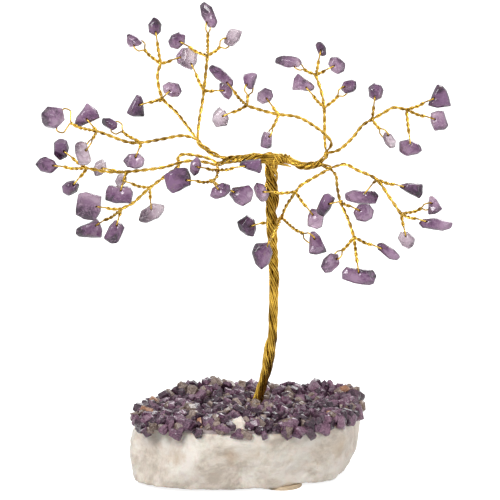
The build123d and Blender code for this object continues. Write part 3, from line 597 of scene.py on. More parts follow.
@dataclass(frozen=True)
class WirePair:
    """Two wires twisted round each other, slimmer where they lie in a bundle.

    In a bundle the bright wire lies proud of the pair's middle and the one in the darker gilt of painted shade
    sunk beside it, and both are slimmer near the bundle's heart. Once free they ease into their own twist.
    """

    pitch: float
    proud: float = 0.20
    sunk: float = 0.16
    spread: float = 0.36
    full: float = 1.25
    slimmest: float = 0.95
    fullest: float = 1.3
    slow_start: float = 0.3
    thin: float = 0.28
    thick: float = 0.33
    step: float = 0.35
    ease: float = 10.0

    def wind(self, line: list[Vector], outward: list[Vector], led: int) -> tuple[Wire, Wire]:
        """Winds two wires along a line.

        Args:
            line: Points of the pair's middle.
            outward: Direction for each point of the led start. After it only the last counts.
            led: Number of points over which the wires lie side by side in their bundle.

        Returns:
            The two wires.
        """
        # The second wire of each pair takes the darker gilt of painted shade.
        one, other = Wire([], []), Wire([], [], True)
        phase, side, sunk = 0.0, None, Vector()
        for here, point in enumerate(line):
            tangent = (line[min(here + 1, len(line) - 1)] - line[max(here - 1, 0)]).normalized()
            if here < led:
                side = outward[here].normalized()
                sunk = tangent.cross(outward[here]) * self.spread - side * self.sunk
            elif side is None:
                side = outward[here]
            side = (side - tangent * side.dot(tangent)).normalized()
            freed = 1.0 if not led else min(max((here - led) / self.ease, 0.0), 1.0)
            if here >= max(led, 1):
                eased = self.slow_start + (1 - self.slow_start) * freed
                phase += tau * (line[here] - line[here - 1]).length / self.pitch * eased
            radius = self.thin + (self.thick - self.thin) * freed
            if here < led:
                radius *= min(max(outward[here].length / self.full, self.slimmest), self.fullest)
            wound = Quaternion(tangent, phase) @ side
            for wire, start, way in ((one, side * self.proud, 1), (other, sunk, -1)):
                wire.points.append(point + start.lerp(wound * (self.thick * way), freed))
                wire.radii.append(radius)
        return one, other


def mix_outward(strand: Strand, count: int) -> list[Vector]:
    """Spreads a strand's outward directions over finer points.

    Args:
        strand: The strand.
        count: Number of fine points over the strand's led length.

    Returns:
        One direction for each fine point.
    """
    spread = []
    for step in range(count):
        at = step / max(count - 1, 1) * (len(strand.outward) - 1)
        low = min(int(at), len(strand.outward) - 2)
        spread.append(strand.outward[low].lerp(strand.outward[low + 1], at - low))
    return spread


def link(data: bpy.types.ID, name: str) -> bpy.types.Object:
    """Adds an object to the scene.

    Args:
        data: Its mesh, curve, camera or lamp.
        name: Its name.

    Returns:
        The object.
    """
    made = bpy.data.objects.new(name, data)
    bpy.context.scene.collection.objects.link(made)
    return made


def finished(shape: bmesh.types.BMesh, name: str, materials: list[bpy.types.Material]) -> bpy.types.Object:
    """Makes an object of a shape.

    Args:
        shape: The shape, which is freed.
        name: The object's name.
        materials: Its materials, in the order that its faces count them.

    Returns:
        The object.
    """
    mesh = bpy.data.meshes.new(name)
    shape.to_mesh(mesh)
    shape.free()
    for material in materials:
        mesh.materials.append(material)
    return link(mesh, name)


def even_mesh(source: bmesh.types.BMesh, name: str, voxel: float, passes: int) -> bmesh.types.BMesh:
    """Remeshes a closed shape evenly and eases its edges.

    Args:
        source: The shape, which is freed.
        name: Name of the passing mesh.
        voxel: Size of the new mesh's faces, in millimetres.
        passes: Number of smoothing passes.

    Returns:
        The even shape.
    """
    holder = finished(source, name, [])
    mesh = holder.data
    remesh = holder.modifiers.new("even", "REMESH")
    remesh.mode = "VOXEL"
    remesh.voxel_size = voxel * MM
    even = bpy.data.meshes.new_from_object(holder.evaluated_get(bpy.context.evaluated_depsgraph_get()))
    shape = bmesh.new()
    shape.from_mesh(even)
    bpy.data.objects.remove(holder)
    bpy.data.meshes.remove(mesh)
    bpy.data.meshes.remove(even)
    for _ in range(passes):
        bmesh.ops.smooth_vert(shape, verts=shape.verts, factor=0.5, use_axis_x=True, use_axis_y=True,
                              use_axis_z=True)
    shape.normal_update()
    return shape


def merged_copy(node: str) -> bmesh.types.BMesh:
    """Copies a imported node's mesh with its loose triangles joined.

    Args:
        node: The node.

    Returns:
        The copy.
    """
    source = bmesh.new()
    source.from_mesh(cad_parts[node].data)
    bmesh.ops.remove_doubles(source, verts=source.verts, dist=MERGE_DISTANCE * MM)
    return source


class Nodes:
    """A material's node tree, with short ways to add and join nodes."""

    def __init__(self, name: str) -> None:
        """Starts an empty material with a Principled shader.

        Args:
            name: The material's name.
        """
        self.material = bpy.data.materials.new(name)
        self.material.use_nodes = True
        self.tree = self.material.node_tree
        self.shader = self.tree.nodes["Principled BSDF"]
        self.coords = self.add("ShaderNodeTexCoord").outputs["Object"]

    def add(self, kind: str, **values: object) -> bpy.types.ShaderNode:
        """Adds a node and sets its properties or its input sockets.

        Args:
            kind: The node's type.
            values: Properties, or inputs by name with spaces written as underscores.

        Returns:
            The node.
        """
        node = self.tree.nodes.new(kind)
        for key, value in values.items():
            if hasattr(node, key):
                setattr(node, key, value)
            else:
                node.inputs[key.replace("_", " ")].default_value = value
        return node

    def join(self, out: bpy.types.NodeSocket, into: bpy.types.NodeSocket) -> None:
        """Joins two sockets."""
        self.tree.links.new(out, into)

    def noise(self, scale: float, detail: float = 4, roughness: float = 0.55,
              distortion: float = 0) -> bpy.types.NodeSocket:
        """Adds a noise on Object coordinates.

        Args:
            scale: How fine it is.
            detail: Number of finer layers on it.
            roughness: How strong those are.
            distortion: How far it swirls.

        Returns:
            Its factor's socket.
        """
        node = self.add("ShaderNodeTexNoise", Scale=scale, Detail=detail, Roughness=roughness,
                        Distortion=distortion)
        self.join(self.coords, node.inputs["Vector"])
        return node.outputs["Fac"]

    def ramp(self, factor: bpy.types.NodeSocket, stops: list[tuple[float, tuple]]) -> bpy.types.NodeSocket:
        """Adds a colour ramp.

        Args:
            factor: Socket that drives it.
            stops: Positions and colours.

        Returns:
            The colour socket.
        """
        node = self.add("ShaderNodeValToRGB")
        elements = node.color_ramp.elements
        while len(elements) < len(stops):
            elements.new(0.5)
        for element, (position, colour) in zip(elements, stops):
            element.position = position
            element.color = (*colour, 1)
        self.join(factor, node.inputs["Fac"])
        return node.outputs["Color"]

    def mask(self, factor: bpy.types.NodeSocket, start: float, full: float,
             most: float) -> bpy.types.NodeSocket:
        """Makes a grey that rises with a factor.

        Args:
            factor: Socket that drives it.
            start: Value up to which the grey is black.
            full: Value from which it is at its lightest.
            most: How light that is.

        Returns:
            The grey's socket.
        """
        return self.ramp(factor, [(start, (0, 0, 0)), (full, (most, most, most))])

    def mix(self, factor: bpy.types.NodeSocket | float, one: bpy.types.NodeSocket | tuple,
            other: bpy.types.NodeSocket | tuple) -> bpy.types.NodeSocket:
        """Mixes two colours.

        Args:
            factor: Share of the second.
            one: First colour, as a socket or a tuple.
            other: Second colour.

        Returns:
            The mixed colour's socket.
        """
        node = self.add("ShaderNodeMix", data_type="RGBA", blend_type="MIX")
        for value, socket in ((factor, node.inputs[0]), (one, node.inputs[6]), (other, node.inputs[7])):
            if isinstance(value, bpy.types.NodeSocket):
                self.join(value, socket)
            elif isinstance(value, tuple):
                socket.default_value = (*value, 1)
            else:
                socket.default_value = value
        return node.outputs[2]

    def near(self, at: tuple[float, float, float], width: float, middle: float = 0.55, edge: float = 1.0,
             most: float = 0.6) -> bpy.types.NodeSocket:
        """Makes a ragged patch round a point of the object.

        Args:
            at: The point, in millimetres.
            width: How far the patch reaches, in millimetres.
            middle: Share of the width within which the patch is at its lightest.
            edge: Share of the width at which it ends.
            most: How light it gets.

        Returns:
            A grey that is lightest in the middle of the patch.
        """
        apart = self.add("ShaderNodeVectorMath", operation="DISTANCE")
        self.join(self.coords, apart.inputs[0])
        apart.inputs[1].default_value = Vector(at) * MM
        ragged = self.add("ShaderNodeMath", operation="MULTIPLY_ADD")
        self.join(apart.outputs["Value"], ragged.inputs[0])
        ragged.inputs[1].default_value = 1 / (width * MM)
        self.join(self.noise(scale=260, detail=6, roughness=0.7), ragged.inputs[2])
        return self.ramp(ragged.outputs[0], [(middle, (most, most, most)), (edge, (0, 0, 0))])

    def attribute(self, name: str) -> bpy.types.NodeSocket:
        """Reads a number kept on the mesh."""
        return self.add("ShaderNodeAttribute", attribute_name=name).outputs["Fac"]

    def bump(self, height: bpy.types.NodeSocket, strength: float, distance: float) -> None:
        """Roughens the surface.

        Args:
            height: Socket that gives the height.
            strength: Share of the full effect.
            distance: Depth of the relief, in metres.
        """
        node = self.add("ShaderNodeBump", Strength=strength, Distance=distance)
        self.join(height, node.inputs["Height"])
        self.join(node.outputs["Normal"], self.shader.inputs["Normal"])

    def set(self, **values: float) -> None:
        """Sets the shader's own sockets, with spaces written as underscores."""
        for key, value in values.items():
            self.shader.inputs[key.replace("_", " ")].default_value = value


@dataclass(frozen=True)
class GiltWire:
    """Gold-coloured craft wire, a little brighter and darker along its length by painted highlight and painted
    shade.
    """

    name: str
    bright: tuple[float, float, float]
    shaded: tuple[float, float, float]

    def make(self) -> bpy.types.Material:
        """Builds the material.

        Returns:
            The material.
        """
        nodes = Nodes(self.name)
        painted_light_streaks = nodes.noise(scale=160, detail=2)
        # Painted highlight and painted shade: the noise runs between the shaded and the bright colour.
        colour = nodes.ramp(painted_light_streaks, [(0.36, self.shaded), (0.58, self.bright)])
        nodes.join(colour, nodes.shader.inputs["Base Color"])
        nodes.set(Metallic=1.0, Roughness=0.24)
        return nodes.material


@dataclass(frozen=True)
class Amethyst:
    """Polished amethyst of one tone, cloudy and veined inside; painted shade darkens its rim, and its wire's
    painted reflection tints its hole.
    """

    tone: Tone
    deep: tuple[float, float, float]
    body: tuple[float, float, float]
    cloud: tuple[float, float, float]
    clear: float
    zoning: float = 0.20
    # Tint of the painted reflection of the gilt wire.
    wire_reflection_tint: tuple[float, float, float] = (0.20, 0.09, 0.025)
    stain: tuple[float, float, float] = (0.26, 0.17, 0.15)

    def make(self) -> bpy.types.Material:
        """Builds the material.

        Returns:
            The material.
        """
        nodes = Nodes(f"amethyst_{self.tone.value}")
        depth = nodes.add("ShaderNodeMath", operation="MULTIPLY_ADD")
        nodes.join(nodes.attribute("shade"), depth.inputs[0])
        depth.inputs[1].default_value = self.zoning
        nodes.join(nodes.noise(scale=230, detail=5, roughness=0.62, distortion=1.1), depth.inputs[2])
        clouds = nodes.ramp(depth.outputs[0], [(0.24, self.deep), (0.44, self.body), (0.70, self.cloud)])
        veins = nodes.noise(scale=380, detail=6, roughness=0.65, distortion=2.2)
        wispy = nodes.mix(nodes.mask(veins, start=0.52, full=0.66, most=0.7), clouds, self.cloud)
        rust = nodes.noise(scale=300, detail=5, roughness=0.7, distortion=1.4)
        stained = nodes.mix(nodes.mask(rust, start=0.56, full=0.70, most=0.45), wispy, self.stain)
        # Painted shade: the rim darkens towards the deep colour.
        rim = nodes.mask(nodes.attribute("rim"), start=0.42, full=0.80, most=0.95)
        with_rim_shade = nodes.mix(rim, stained, self.deep)
        # Painted reflection of the gilt wire: a tint that fades away from the hole.
        wire_reflection = nodes.mask(nodes.attribute("wire_reflection"), start=0.2, full=1.0, most=0.75)
        nodes.join(nodes.mix(wire_reflection, with_rim_shade, self.wire_reflection_tint), nodes.shader.inputs["Base Color"])
        nodes.set(Roughness=0.18, IOR=1.5, Transmission_Weight=self.clear, Coat_Weight=0.12,
                  Coat_Roughness=0.1)
        nodes.bump(nodes.noise(scale=420, detail=2), strength=0.12, distance=0.0003)
        return nodes.material


@dataclass(frozen=True)
class Grit:
    """Small rough chips of one tone."""

    name: str
    deep: tuple[float, float, float]
    body: tuple[float, float, float]
    cloud: tuple[float, float, float]
    clear: float = 0.35
    clouded: float = 0.65

    def make(self) -> bpy.types.Material:
        """Builds the material.

        Returns:
            The material.
        """
        nodes = Nodes(f"grit_{self.name}")
        shade = nodes.ramp(nodes.attribute("shade"), [(0.0, self.deep), (0.5, self.body), (1.0, self.cloud)])
        mottle = nodes.noise(scale=700, detail=6, roughness=0.7, distortion=1.5)
        clouds = nodes.ramp(mottle, [(0.38, self.deep), (0.50, self.body), (0.62, self.cloud)])
        nodes.join(nodes.mix(self.clouded, shade, clouds), nodes.shader.inputs["Base Color"])
        nodes.set(Roughness=0.26, IOR=1.46, Transmission_Weight=self.clear)
        nodes.bump(nodes.noise(scale=1500, detail=2), strength=0.15, distance=0.0003)
        return nodes.material


@dataclass(frozen=True)
class Quartz:
    """White vein quartz: sugary and translucent, with grey and cream patches, rusty spots and tan stains."""

    white: tuple[float, float, float] = (0.72, 0.64, 0.55)
    grey: tuple[float, float, float] = (0.54, 0.46, 0.38)
    bright: tuple[float, float, float] = (0.86, 0.80, 0.72)
    cream: tuple[float, float, float] = (0.70, 0.56, 0.42)
    rust: tuple[float, float, float] = (0.50, 0.31, 0.17)
    tan: tuple[float, float, float] = (0.52, 0.36, 0.22)
    stains: tuple[tuple[tuple[float, float, float], float], ...] = (
        ((25.0, -20.0, 7.6), 12.0), ((-24.0, -21.5, 13.6), 9.0), ((-4.0, -23.0, 14.5), 8.0),
        ((35.0, -12.0, 14.0), 9.0))

    def make(self) -> bpy.types.Material:
        """Builds the material.

        Returns:
            The material.
        """
        nodes = Nodes("white_quartz")
        sugar = nodes.noise(scale=75, detail=12, roughness=0.72, distortion=0.3)
        broad = nodes.ramp(sugar, [(0.40, self.grey), (0.49, self.white), (0.60, self.bright)])
        patches = nodes.noise(scale=42, detail=6, roughness=0.62, distortion=1.2)
        tinted = nodes.mix(nodes.mask(patches, start=0.54, full=0.68, most=0.35), broad, self.cream)
        spots = nodes.noise(scale=60, detail=9, roughness=0.78, distortion=0.3)
        spotted = nodes.mix(nodes.mask(spots, start=0.60, full=0.72, most=0.7), tinted, self.rust)
        for at, width in self.stains:
            spotted = nodes.mix(nodes.near(at, width), spotted, self.tan)
        nodes.join(spotted, nodes.shader.inputs["Base Color"])
        nodes.set(Roughness=0.42, IOR=1.54, Subsurface_Weight=0.15, Subsurface_Scale=0.002, Coat_Weight=0.15,
                  Coat_Roughness=0.2)
        nodes.bump(nodes.noise(scale=420, detail=10, roughness=0.8), strength=0.8, distance=0.0009)
        return nodes.material


@dataclass(frozen=True)
class Plain:
    """A finish mottled in two colours, with a finer relief by its grain, for the resin and the pads."""

    name: str
    light: tuple[float, float, float]
    dark: tuple[float, float, float]
    scale: float
    roughness: float
    clear: float = 0.0
    grain: float = 6.0

    def make(self) -> bpy.types.Material:
        """Builds the material.

        Returns:
            The material.
        """
        nodes = Nodes(self.name)
        colour = nodes.ramp(nodes.noise(self.scale), [(0.35, self.dark), (0.65, self.light)])
        nodes.join(colour, nodes.shader.inputs["Base Color"])
        nodes.set(Roughness=self.roughness, Transmission_Weight=self.clear)
        nodes.bump(nodes.noise(scale=self.scale * self.grain, detail=2), strength=0.25, distance=0.0004)
        return nodes.material


GILTS = (
    GiltWire("gilt_wire", (0.60, 0.385, 0.062), (0.27, 0.150, 0.018)),
    # A darker copy of the gilt: painted shade on the sunk wire of each pair, the hearts, every other bridge and
    # the wires of loose chips.
    GiltWire("painted_shade_gilt_wire", (0.16, 0.080, 0.011), (0.055, 0.027, 0.004)),
)
AMETHYSTS = (
    Amethyst(Tone.DARK, (0.010, 0.003, 0.011), (0.070, 0.022, 0.070), (0.22, 0.11, 0.22), 0.20),
    Amethyst(Tone.MID, (0.026, 0.008, 0.027), (0.155, 0.062, 0.150), (0.36, 0.22, 0.34), 0.30),
    Amethyst(Tone.LIGHT, (0.058, 0.024, 0.058), (0.285, 0.155, 0.270), (0.55, 0.39, 0.51), 0.40),
    Amethyst(Tone.PALE, (0.110, 0.065, 0.100), (0.470, 0.350, 0.425), (0.74, 0.64, 0.69), 0.50),
)
GRITS = (
    Grit("dark", (0.008, 0.003, 0.009), (0.055, 0.022, 0.044), (0.21, 0.11, 0.16)),
    Grit("violet", (0.036, 0.013, 0.035), (0.168, 0.070, 0.128), (0.44, 0.26, 0.35)),
    Grit("pale", (0.085, 0.050, 0.037), (0.275, 0.190, 0.155), (0.59, 0.47, 0.41)),
    Grit("amber", (0.220, 0.080, 0.040), (0.510, 0.255, 0.145), (0.75, 0.48, 0.34)),
)


@dataclass
class Crown:
    """The wires of the trunk, boughs and branches.

    Distances and radii are in millimetres. The binding shows as one length for each shift, and covers the
    stations of the right bough that "bound" gives. Its radius swells by its lumps and shrinks by its taper. A
    heart is a wire in the darker gilt of painted shade, laid inside a bundle to darken its gaps, and a bridge
    is a short wire over the trunk's head.
    """

    gilts: tuple[bpy.types.Material, bpy.types.Material]
    main: WirePair = WirePair(pitch=6.2)
    stem: WirePair = WirePair(pitch=4.0)
    fine_stations: int = 80
    binding_shifts: tuple[float, ...] = (0.0, 0.55, 2.6)
    binding_turns: float = 4.6
    binding_steps: int = 59
    binding_stations: int = 300
    binding_radius: float = 1.62
    binding_taper: float = 0.5
    binding_lumps: float = 0.22
    lumps_rate: float = 2.3
    bound: tuple[int, int] = (2, 22)
    trunk_heart: float = 0.72
    heart_travel: tuple[float, float] = (12.0, 97.0)
    bough_heart: float = 0.5
    bridges: int = 8
    bridge_rows: int = 3
    bridge_stations: int = 40

    def branch_lines(self, name: str, strand: Strand) -> list[Wire]:
        """Works out the wires of one branch.

        Args:
            name: The branch.
            strand: Its strand through the trunk.

        Returns:
            Its wires.
        """
        _, first_run, first_fork, second_run, second_fork, rows = BRANCH_SHARES[name]
        forks = [place(*first_fork), place(*second_fork)]
        route = strand.points + [place(*share) for share in first_run] + [forks[0]]
        route += [place(*share) for share in second_run] + [forks[1]]
        lengths = [(after - before).length for before, after in zip(route, route[1:])]
        count = int(sum(lengths) / self.main.step)
        line = smooth(route, count)
        led = int(sum(lengths[:len(strand.points) - 1]) / sum(lengths) * count)
        wires = list(self.main.wind(line, mix_outward(strand, led), led))
        for number, row in enumerate(rows):
            wires.append(DrilledChip(forks[0 if number < FIRST_FORK_CHIPS else 1], row).wire(self.stem))
        return wires

    def tube(self, name: str, wires: list[Wire]) -> bpy.types.Object:
        """Makes round wires along lines.

        Args:
            name: The piece's name.
            wires: The wires.

        Returns:
            The piece.
        """
        curve = bpy.data.curves.new(name, "CURVE")
        curve.dimensions = "3D"
        curve.bevel_depth = self.main.thick * MM
        curve.bevel_resolution = 2
        curve.use_fill_caps = True
        for wire in wires:
            spline = curve.splines.new("POLY")
            spline.points.add(len(wire.points) - 1)
            # A wire marked for painted shade takes the darker gilt.
            spline.material_index = int(wire.painted_shade)
            for point, at, radius in zip(spline.points, wire.points, wire.radii):
                point.co = (*(at * MM), 1)
                point.radius = radius / self.main.thick
        for gilt in self.gilts:
            curve.materials.append(gilt)
        return link(curve, name)

    def build(self) -> None:
        """Makes every branch's wires and the binding turns."""
        for name, strand in Bundle().lay().items():
            piece = self.tube(f"wires_{name}", self.branch_lines(name, strand))
            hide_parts(f"wire_{name}")
            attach(piece, "tree")
            LOG.info("wires of %s", name)
        piece = self.tube("binding_turns", self.binding_lines() + self.heart_lines() + self.bridge_lines())
        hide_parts("binding_wire")
        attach(piece, "tree")
        LOG.info("binding turns")

    def binding_lines(self) -> list[Wire]:
        """Works out the wire that runs over the trunk's head and binds the start of the right bough.

        Returns:
            Its lengths that are in sight.
        """
        axis = smooth([place(*share) for share in BOUGH_SHARES["right"]], self.fine_stations)
        pairs = frames(axis, UP)
        first, last = self.bound
        wires = []
        for shift in self.binding_shifts:
            points = [place(*(at + shift * move for at, move in zip(*pair)))
                      for pair in zip(BINDING_SHARES, BINDING_MOVE_SHARES)]
            for step in range(self.binding_steps + 1):
                share = step / self.binding_steps
                here = first + (last - first) * share
                low = int(here)
                middle = axis[low].lerp(axis[low + 1], here - low)
                up, side = pairs[low]
                angle = tau * self.binding_turns * share + shift
                lump = self.binding_radius + self.binding_lumps * sin(self.lumps_rate * angle + shift)
                lump -= self.binding_taper * share
                points.append(middle + (up * cos(angle) + side * sin(angle)) * lump)
            line = smooth(points, self.binding_stations)
            wires.append(Wire(line, [self.main.thin] * len(line)))
        return wires

    def heart_lines(self) -> list[Wire]:
        """Works out the wires in the darker gilt of painted shade that fill the heart of the trunk and of the
        two boughs.

        Returns:
            The two wires.
        """
        bundle = Bundle()
        steps = self.fine_stations
        first, last = self.heart_travel
        trunk = smooth([place(*share) for share in TRUNK_SHARES], steps)
        girths = [bundle.girth(first + (last - first) * n / steps) for n in range(steps + 1)]
        arms = [*reversed(BOUGH_SHARES["left"]), HEAD_SHARES, *BOUGH_SHARES["right"]]
        across = smooth([place(*share) for share in arms], steps)
        swells = [sin(pi * n / steps) ** 4 for n in range(steps + 1)]
        # Both hearts take the darker gilt of painted shade.
        return [Wire(trunk, [self.trunk_heart * girth for girth in girths], True),
                Wire(across, [self.bough_heart * (1 + swell) for swell in swells], True)]

    def bridge_lines(self) -> list[Wire]:
        """Works out the short wires that lie over the trunk's head, every other one in the darker gilt of
        painted shade.

        Returns:
            The wires.
        """
        wires = []
        for number in range(self.bridges):
            row = number % self.bridge_rows
            drop, back = BRIDGE_DROP_SHARE * number, BRIDGE_BACK_SHARE + BRIDGE_ROW_SHARE * row
            over = [(across, down + drop, back) for across, down in BRIDGE_SHARES]
            over[-1] = (over[-1][0] + BRIDGE_END_SHARE * row, *over[-1][1:])
            line = smooth([place(*share) for share in over], self.bridge_stations)
            # Every other bridge takes the darker gilt of painted shade.
            wires.append(Wire(line, [self.main.thin] * len(line), bool(number % 2)))
        return wires


@dataclass
class Stones:
    """The drilled chips, worked up from their solids.

    Lengths are in millimetres, tilts in degrees and rates in turns of the noise to a millimetre. A chip's
    surface moves out by its swell and growth, and a loose one's by no more than the slack. Its flats are
    ground to a share of how far it reaches, and stay clear of its hole by a number of wires.
    """

    materials: dict[Tone, bpy.types.Material]
    voxel: float = 0.25
    passes: int = 3
    swell: float = 0.26
    grow: float = 0.18
    slack: float = 0.12
    broad_rate: float = 0.26
    fine_rate: float = 0.6
    fine_share: float = 0.25
    seed_shift: tuple[float, float, float] = (3.7, 1.3, 2.1)
    seed_step: int = 7
    flats: int = 10
    scatter: float = 0.4
    tilts: tuple[float, float] = (12.0, 62.0)
    ground: tuple[float, float] = (0.78, 0.92)
    rim_clear: float = 2.0
    shade_reach: float = 3.0
    # Reach of the painted wire reflection round the hole, in millimetres.
    wire_reflection_reach: float = 1.9

    def tumble(self, faces: list[bmesh.types.BMFace], seed: int, chip: DrilledChip) -> bpy.types.Mesh:
        """Tumbles one chip: an even mesh, eased edges, a hammered surface and ground flats.

        Args:
            faces: The chip's faces.
            seed: Number that makes this chip different.
            chip: Its drilling.

        Returns:
            The worked mesh.
        """
        lone = bmesh.new()
        copies = {}
        for face in faces:
            corners = []
            for vert in face.verts:
                if vert not in copies:
                    copies[vert] = lone.verts.new(vert.co)
                corners.append(copies[vert])
            lone.faces.new(corners)
        shape = even_mesh(lone, "chip", self.voxel, self.passes)
        shift = Vector(seed * step for step in self.seed_shift)
        moves = []
        for vert in shape.verts:
            rough = noise.noise(vert.co / MM * self.broad_rate + shift)
            rough += self.fine_share * noise.noise(vert.co / MM * self.fine_rate + shift)
            off = vert.co / MM - chip.hole
            clear = min(max((off - chip.axis * off.dot(chip.axis)).length - WIRE, 0.0), 1.0)
            move = rough * self.swell + self.grow
            moves.append((min(move, self.slack) if chip.loose else move) * clear * MM)
        for vert, move in zip(shape.verts, moves):
            vert.co += vert.normal * move
        self.facet(shape, chip, random.Random(seed))
        worked = bpy.data.meshes.new("chip")
        shape.to_mesh(worked)
        shape.free()
        return worked

    def facet(self, shape: bmesh.types.BMesh, chip: DrilledChip, chance: random.Random) -> None:
        """Grinds flats on a chip, by turns on its two faces, and leaves the rims of its hole whole.

        Args:
            shape: The chip's mesh.
            chip: Its drilling.
            chance: Source of the flats' tilts.
        """
        middle = sum((vert.co for vert in shape.verts), Vector()) / len(shape.verts)
        across = chip.axis.cross(chip.to_neck)
        quarters = (0, tau / 4, tau / 2, tau * 3 / 4)
        compass = [chip.to_neck * cos(turn) + across * sin(turn) for turn in quarters]
        for number in range(self.flats):
            tilt = radians(chance.uniform(*self.tilts))
            way = tau * (number + chance.uniform(-self.scatter, self.scatter)) / self.flats * 2
            side = chip.axis * (1 if number % 2 else -1)
            normal = side * cos(tilt) + (chip.to_neck * cos(way) + across * sin(way)) * sin(tilt)
            reached = max((vert.co - middle).dot(normal) for vert in shape.verts)
            reached *= chance.uniform(*self.ground)
            rim = chip.hole + side * (chip.thickness / 2 + WIRE / 2)
            for toward in compass:
                kept = (rim + toward * WIRE * self.rim_clear) * MM - middle
                reached = max(reached, kept.dot(normal))
            for vert in shape.verts:
                over = (vert.co - middle).dot(normal) - reached
                if over > 0:
                    vert.co -= normal * over

    @staticmethod
    def islands(source: bmesh.types.BMesh) -> list[list[bmesh.types.BMFace]]:
        """Finds the chips of a mesh that holds several.

        Args:
            source: The mesh.

        Returns:
            Each chip's faces.
        """
        found, seen = [], set()
        for face in source.faces:
            if face in seen:
                continue
            group, open_faces = [], [face]
            seen.add(face)
            while open_faces:
                here = open_faces.pop()
                group.append(here)
                for other in (other for edge in here.edges for other in edge.link_faces):
                    if other not in seen:
                        seen.add(other)
                        open_faces.append(other)
            found.append(group)
        return found

    def dress(self, node: str, body: str, piece_name: str,
              chips: list[tuple[Tone, Vector, DrilledChip]]) -> None:
        """Replaces the chips of one node.

        Args:
            node: The node.
            body: Body that they move with.
            piece_name: Name of the piece.
            chips: Tone, middle and drilling of each of its chips.
        """
        source = merged_copy(node)
        groups = self.islands(source)
        whole = bmesh.new()
        rim, shade, wire_reflection = (whole.verts.layers.float.new(name) for name in ("rim", "shade", "wire_reflection"))
        slots: list[Tone] = []
        for number, group in enumerate(groups):
            middle = sum((face.calc_center_median() for face in group), Vector()) / len(group)
            tone, _, chip = min(chips, key=lambda known: (known[1] * MM - middle).length)
            chance = random.Random(f"{node} {number}")
            way = chip.to_neck * chance.uniform(-1, 1) + chip.axis.cross(chip.to_neck) * chance.uniform(-1, 1)
            way = way.normalized() / (self.shade_reach * MM)
            if tone not in slots:
                slots.append(tone)
            mesh = self.tumble(group, sum(map(ord, node)) + self.seed_step * number, chip)
            before, face_count = len(whole.verts), len(whole.faces)
            whole.from_mesh(mesh)
            bpy.data.meshes.remove(mesh)
            whole.verts.ensure_lookup_table()
            whole.faces.ensure_lookup_table()
            whole.normal_update()
            for vert in whole.verts[before:]:
                # Painted shade on the rim: the more the surface turns from the chip's face, the darker; less on
                # chips turned edge on.
                vert[rim] = (1 - abs(vert.normal.dot(chip.axis))) * chip.faced
                vert[shade] = (vert.co - middle).dot(way)
                # Painted reflection of the wire, strongest at the hole.
                vert[wire_reflection] = max(0.0, 1 - (vert.co / MM - chip.hole).length / self.wire_reflection_reach)
            for face in whole.faces[face_count:]:
                face.material_index = slots.index(tone)
                face.smooth = True
        source.free()
        piece = finished(whole, piece_name, [self.materials[tone] for tone in slots])
        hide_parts(node)
        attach(piece, body)
        LOG.info("%s: %d chips", piece_name, len(groups))

    def build(self) -> None:
        """Replaces the chips of every branch."""
        for name, (_, _, first_fork, _, second_fork, rows) in BRANCH_SHARES.items():
            tight = []
            for number, row in enumerate(rows):
                chip = DrilledChip(place(*(first_fork if number < FIRST_FORK_CHIPS else second_fork)), row)
                tone = BRANCH_TONES[name][number]
                if chip.loose:
                    node = f"loose_chip_{name}_{number + 1}"
                    self.dress(node, node, f"stone_{name}_{number + 1}", [(tone, chip.hole, chip)])
                else:
                    tight.append((tone, place(*row[:3]), chip))
            self.dress(f"chips_{name}", "tree", f"stones_{name}", tight)


@dataclass
class Block:
    """The quartz block, the resin and the pads.

    Lengths are in millimetres and rates in turns of the noise to a millimetre. The stone's surface moves by
    its swells, ridges and grain, no further out than "proudest", and on the top by a share of that.
    """

    quartz: bpy.types.Material
    resin: bpy.types.Material
    pad: bpy.types.Material
    voxel: float = 0.7
    passes: int = 2
    swells: float = 0.8
    swells_rate: float = 0.09
    octaves: tuple[float, float, int] = (0.9, 2.0, 4)
    ridges: float = 0.25
    ridges_rate: tuple[float, float, float] = (0.22, 0.22, 0.13)
    grain: float = 0.2
    grain_rate: float = 0.8
    sunk: float = 0.05
    proudest: float = 0.3
    top_share: float = 0.25
    top_skin: float = 1.0

    def roughen(self) -> None:
        """Works the block's solid up to a broken quartz surface that stands hardly proud of it."""
        shape = even_mesh(merged_copy("base_block"), "block", self.voxel, self.passes)
        moves = []
        for vert in shape.verts:
            at = vert.co / MM
            swell = noise.fractal(at * self.swells_rate, *self.octaves)
            ridge = 1 - abs(noise.noise(Vector(a * b for a, b in zip(at, self.ridges_rate)))) * 2
            grain = noise.noise(at * self.grain_rate)
            move = self.swells * swell + self.ridges * ridge + self.grain * grain - self.sunk
            share = self.top_share if at.z > BLOCK_TOP - self.top_skin else 1
            moves.append(min(move, self.proudest) * MM * share)
        for vert, move in zip(shape.verts, moves):
            vert.co += vert.normal * move
        for face in shape.faces:
            face.smooth = True
        piece = finished(shape, "quartz_block", [self.quartz])
        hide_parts("base_block")
        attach(piece, "tree")
        LOG.info("quartz block")

    def build(self) -> None:
        """Makes the block and finishes the resin and the pads."""
        self.roughen()
        for name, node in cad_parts.items():
            finish = self.pad if name == "pads" else self.resin if name == "resin" else None
            if finish:
                node.data.materials.clear()
                node.data.materials.append(finish)
                LOG.info("%s", name)


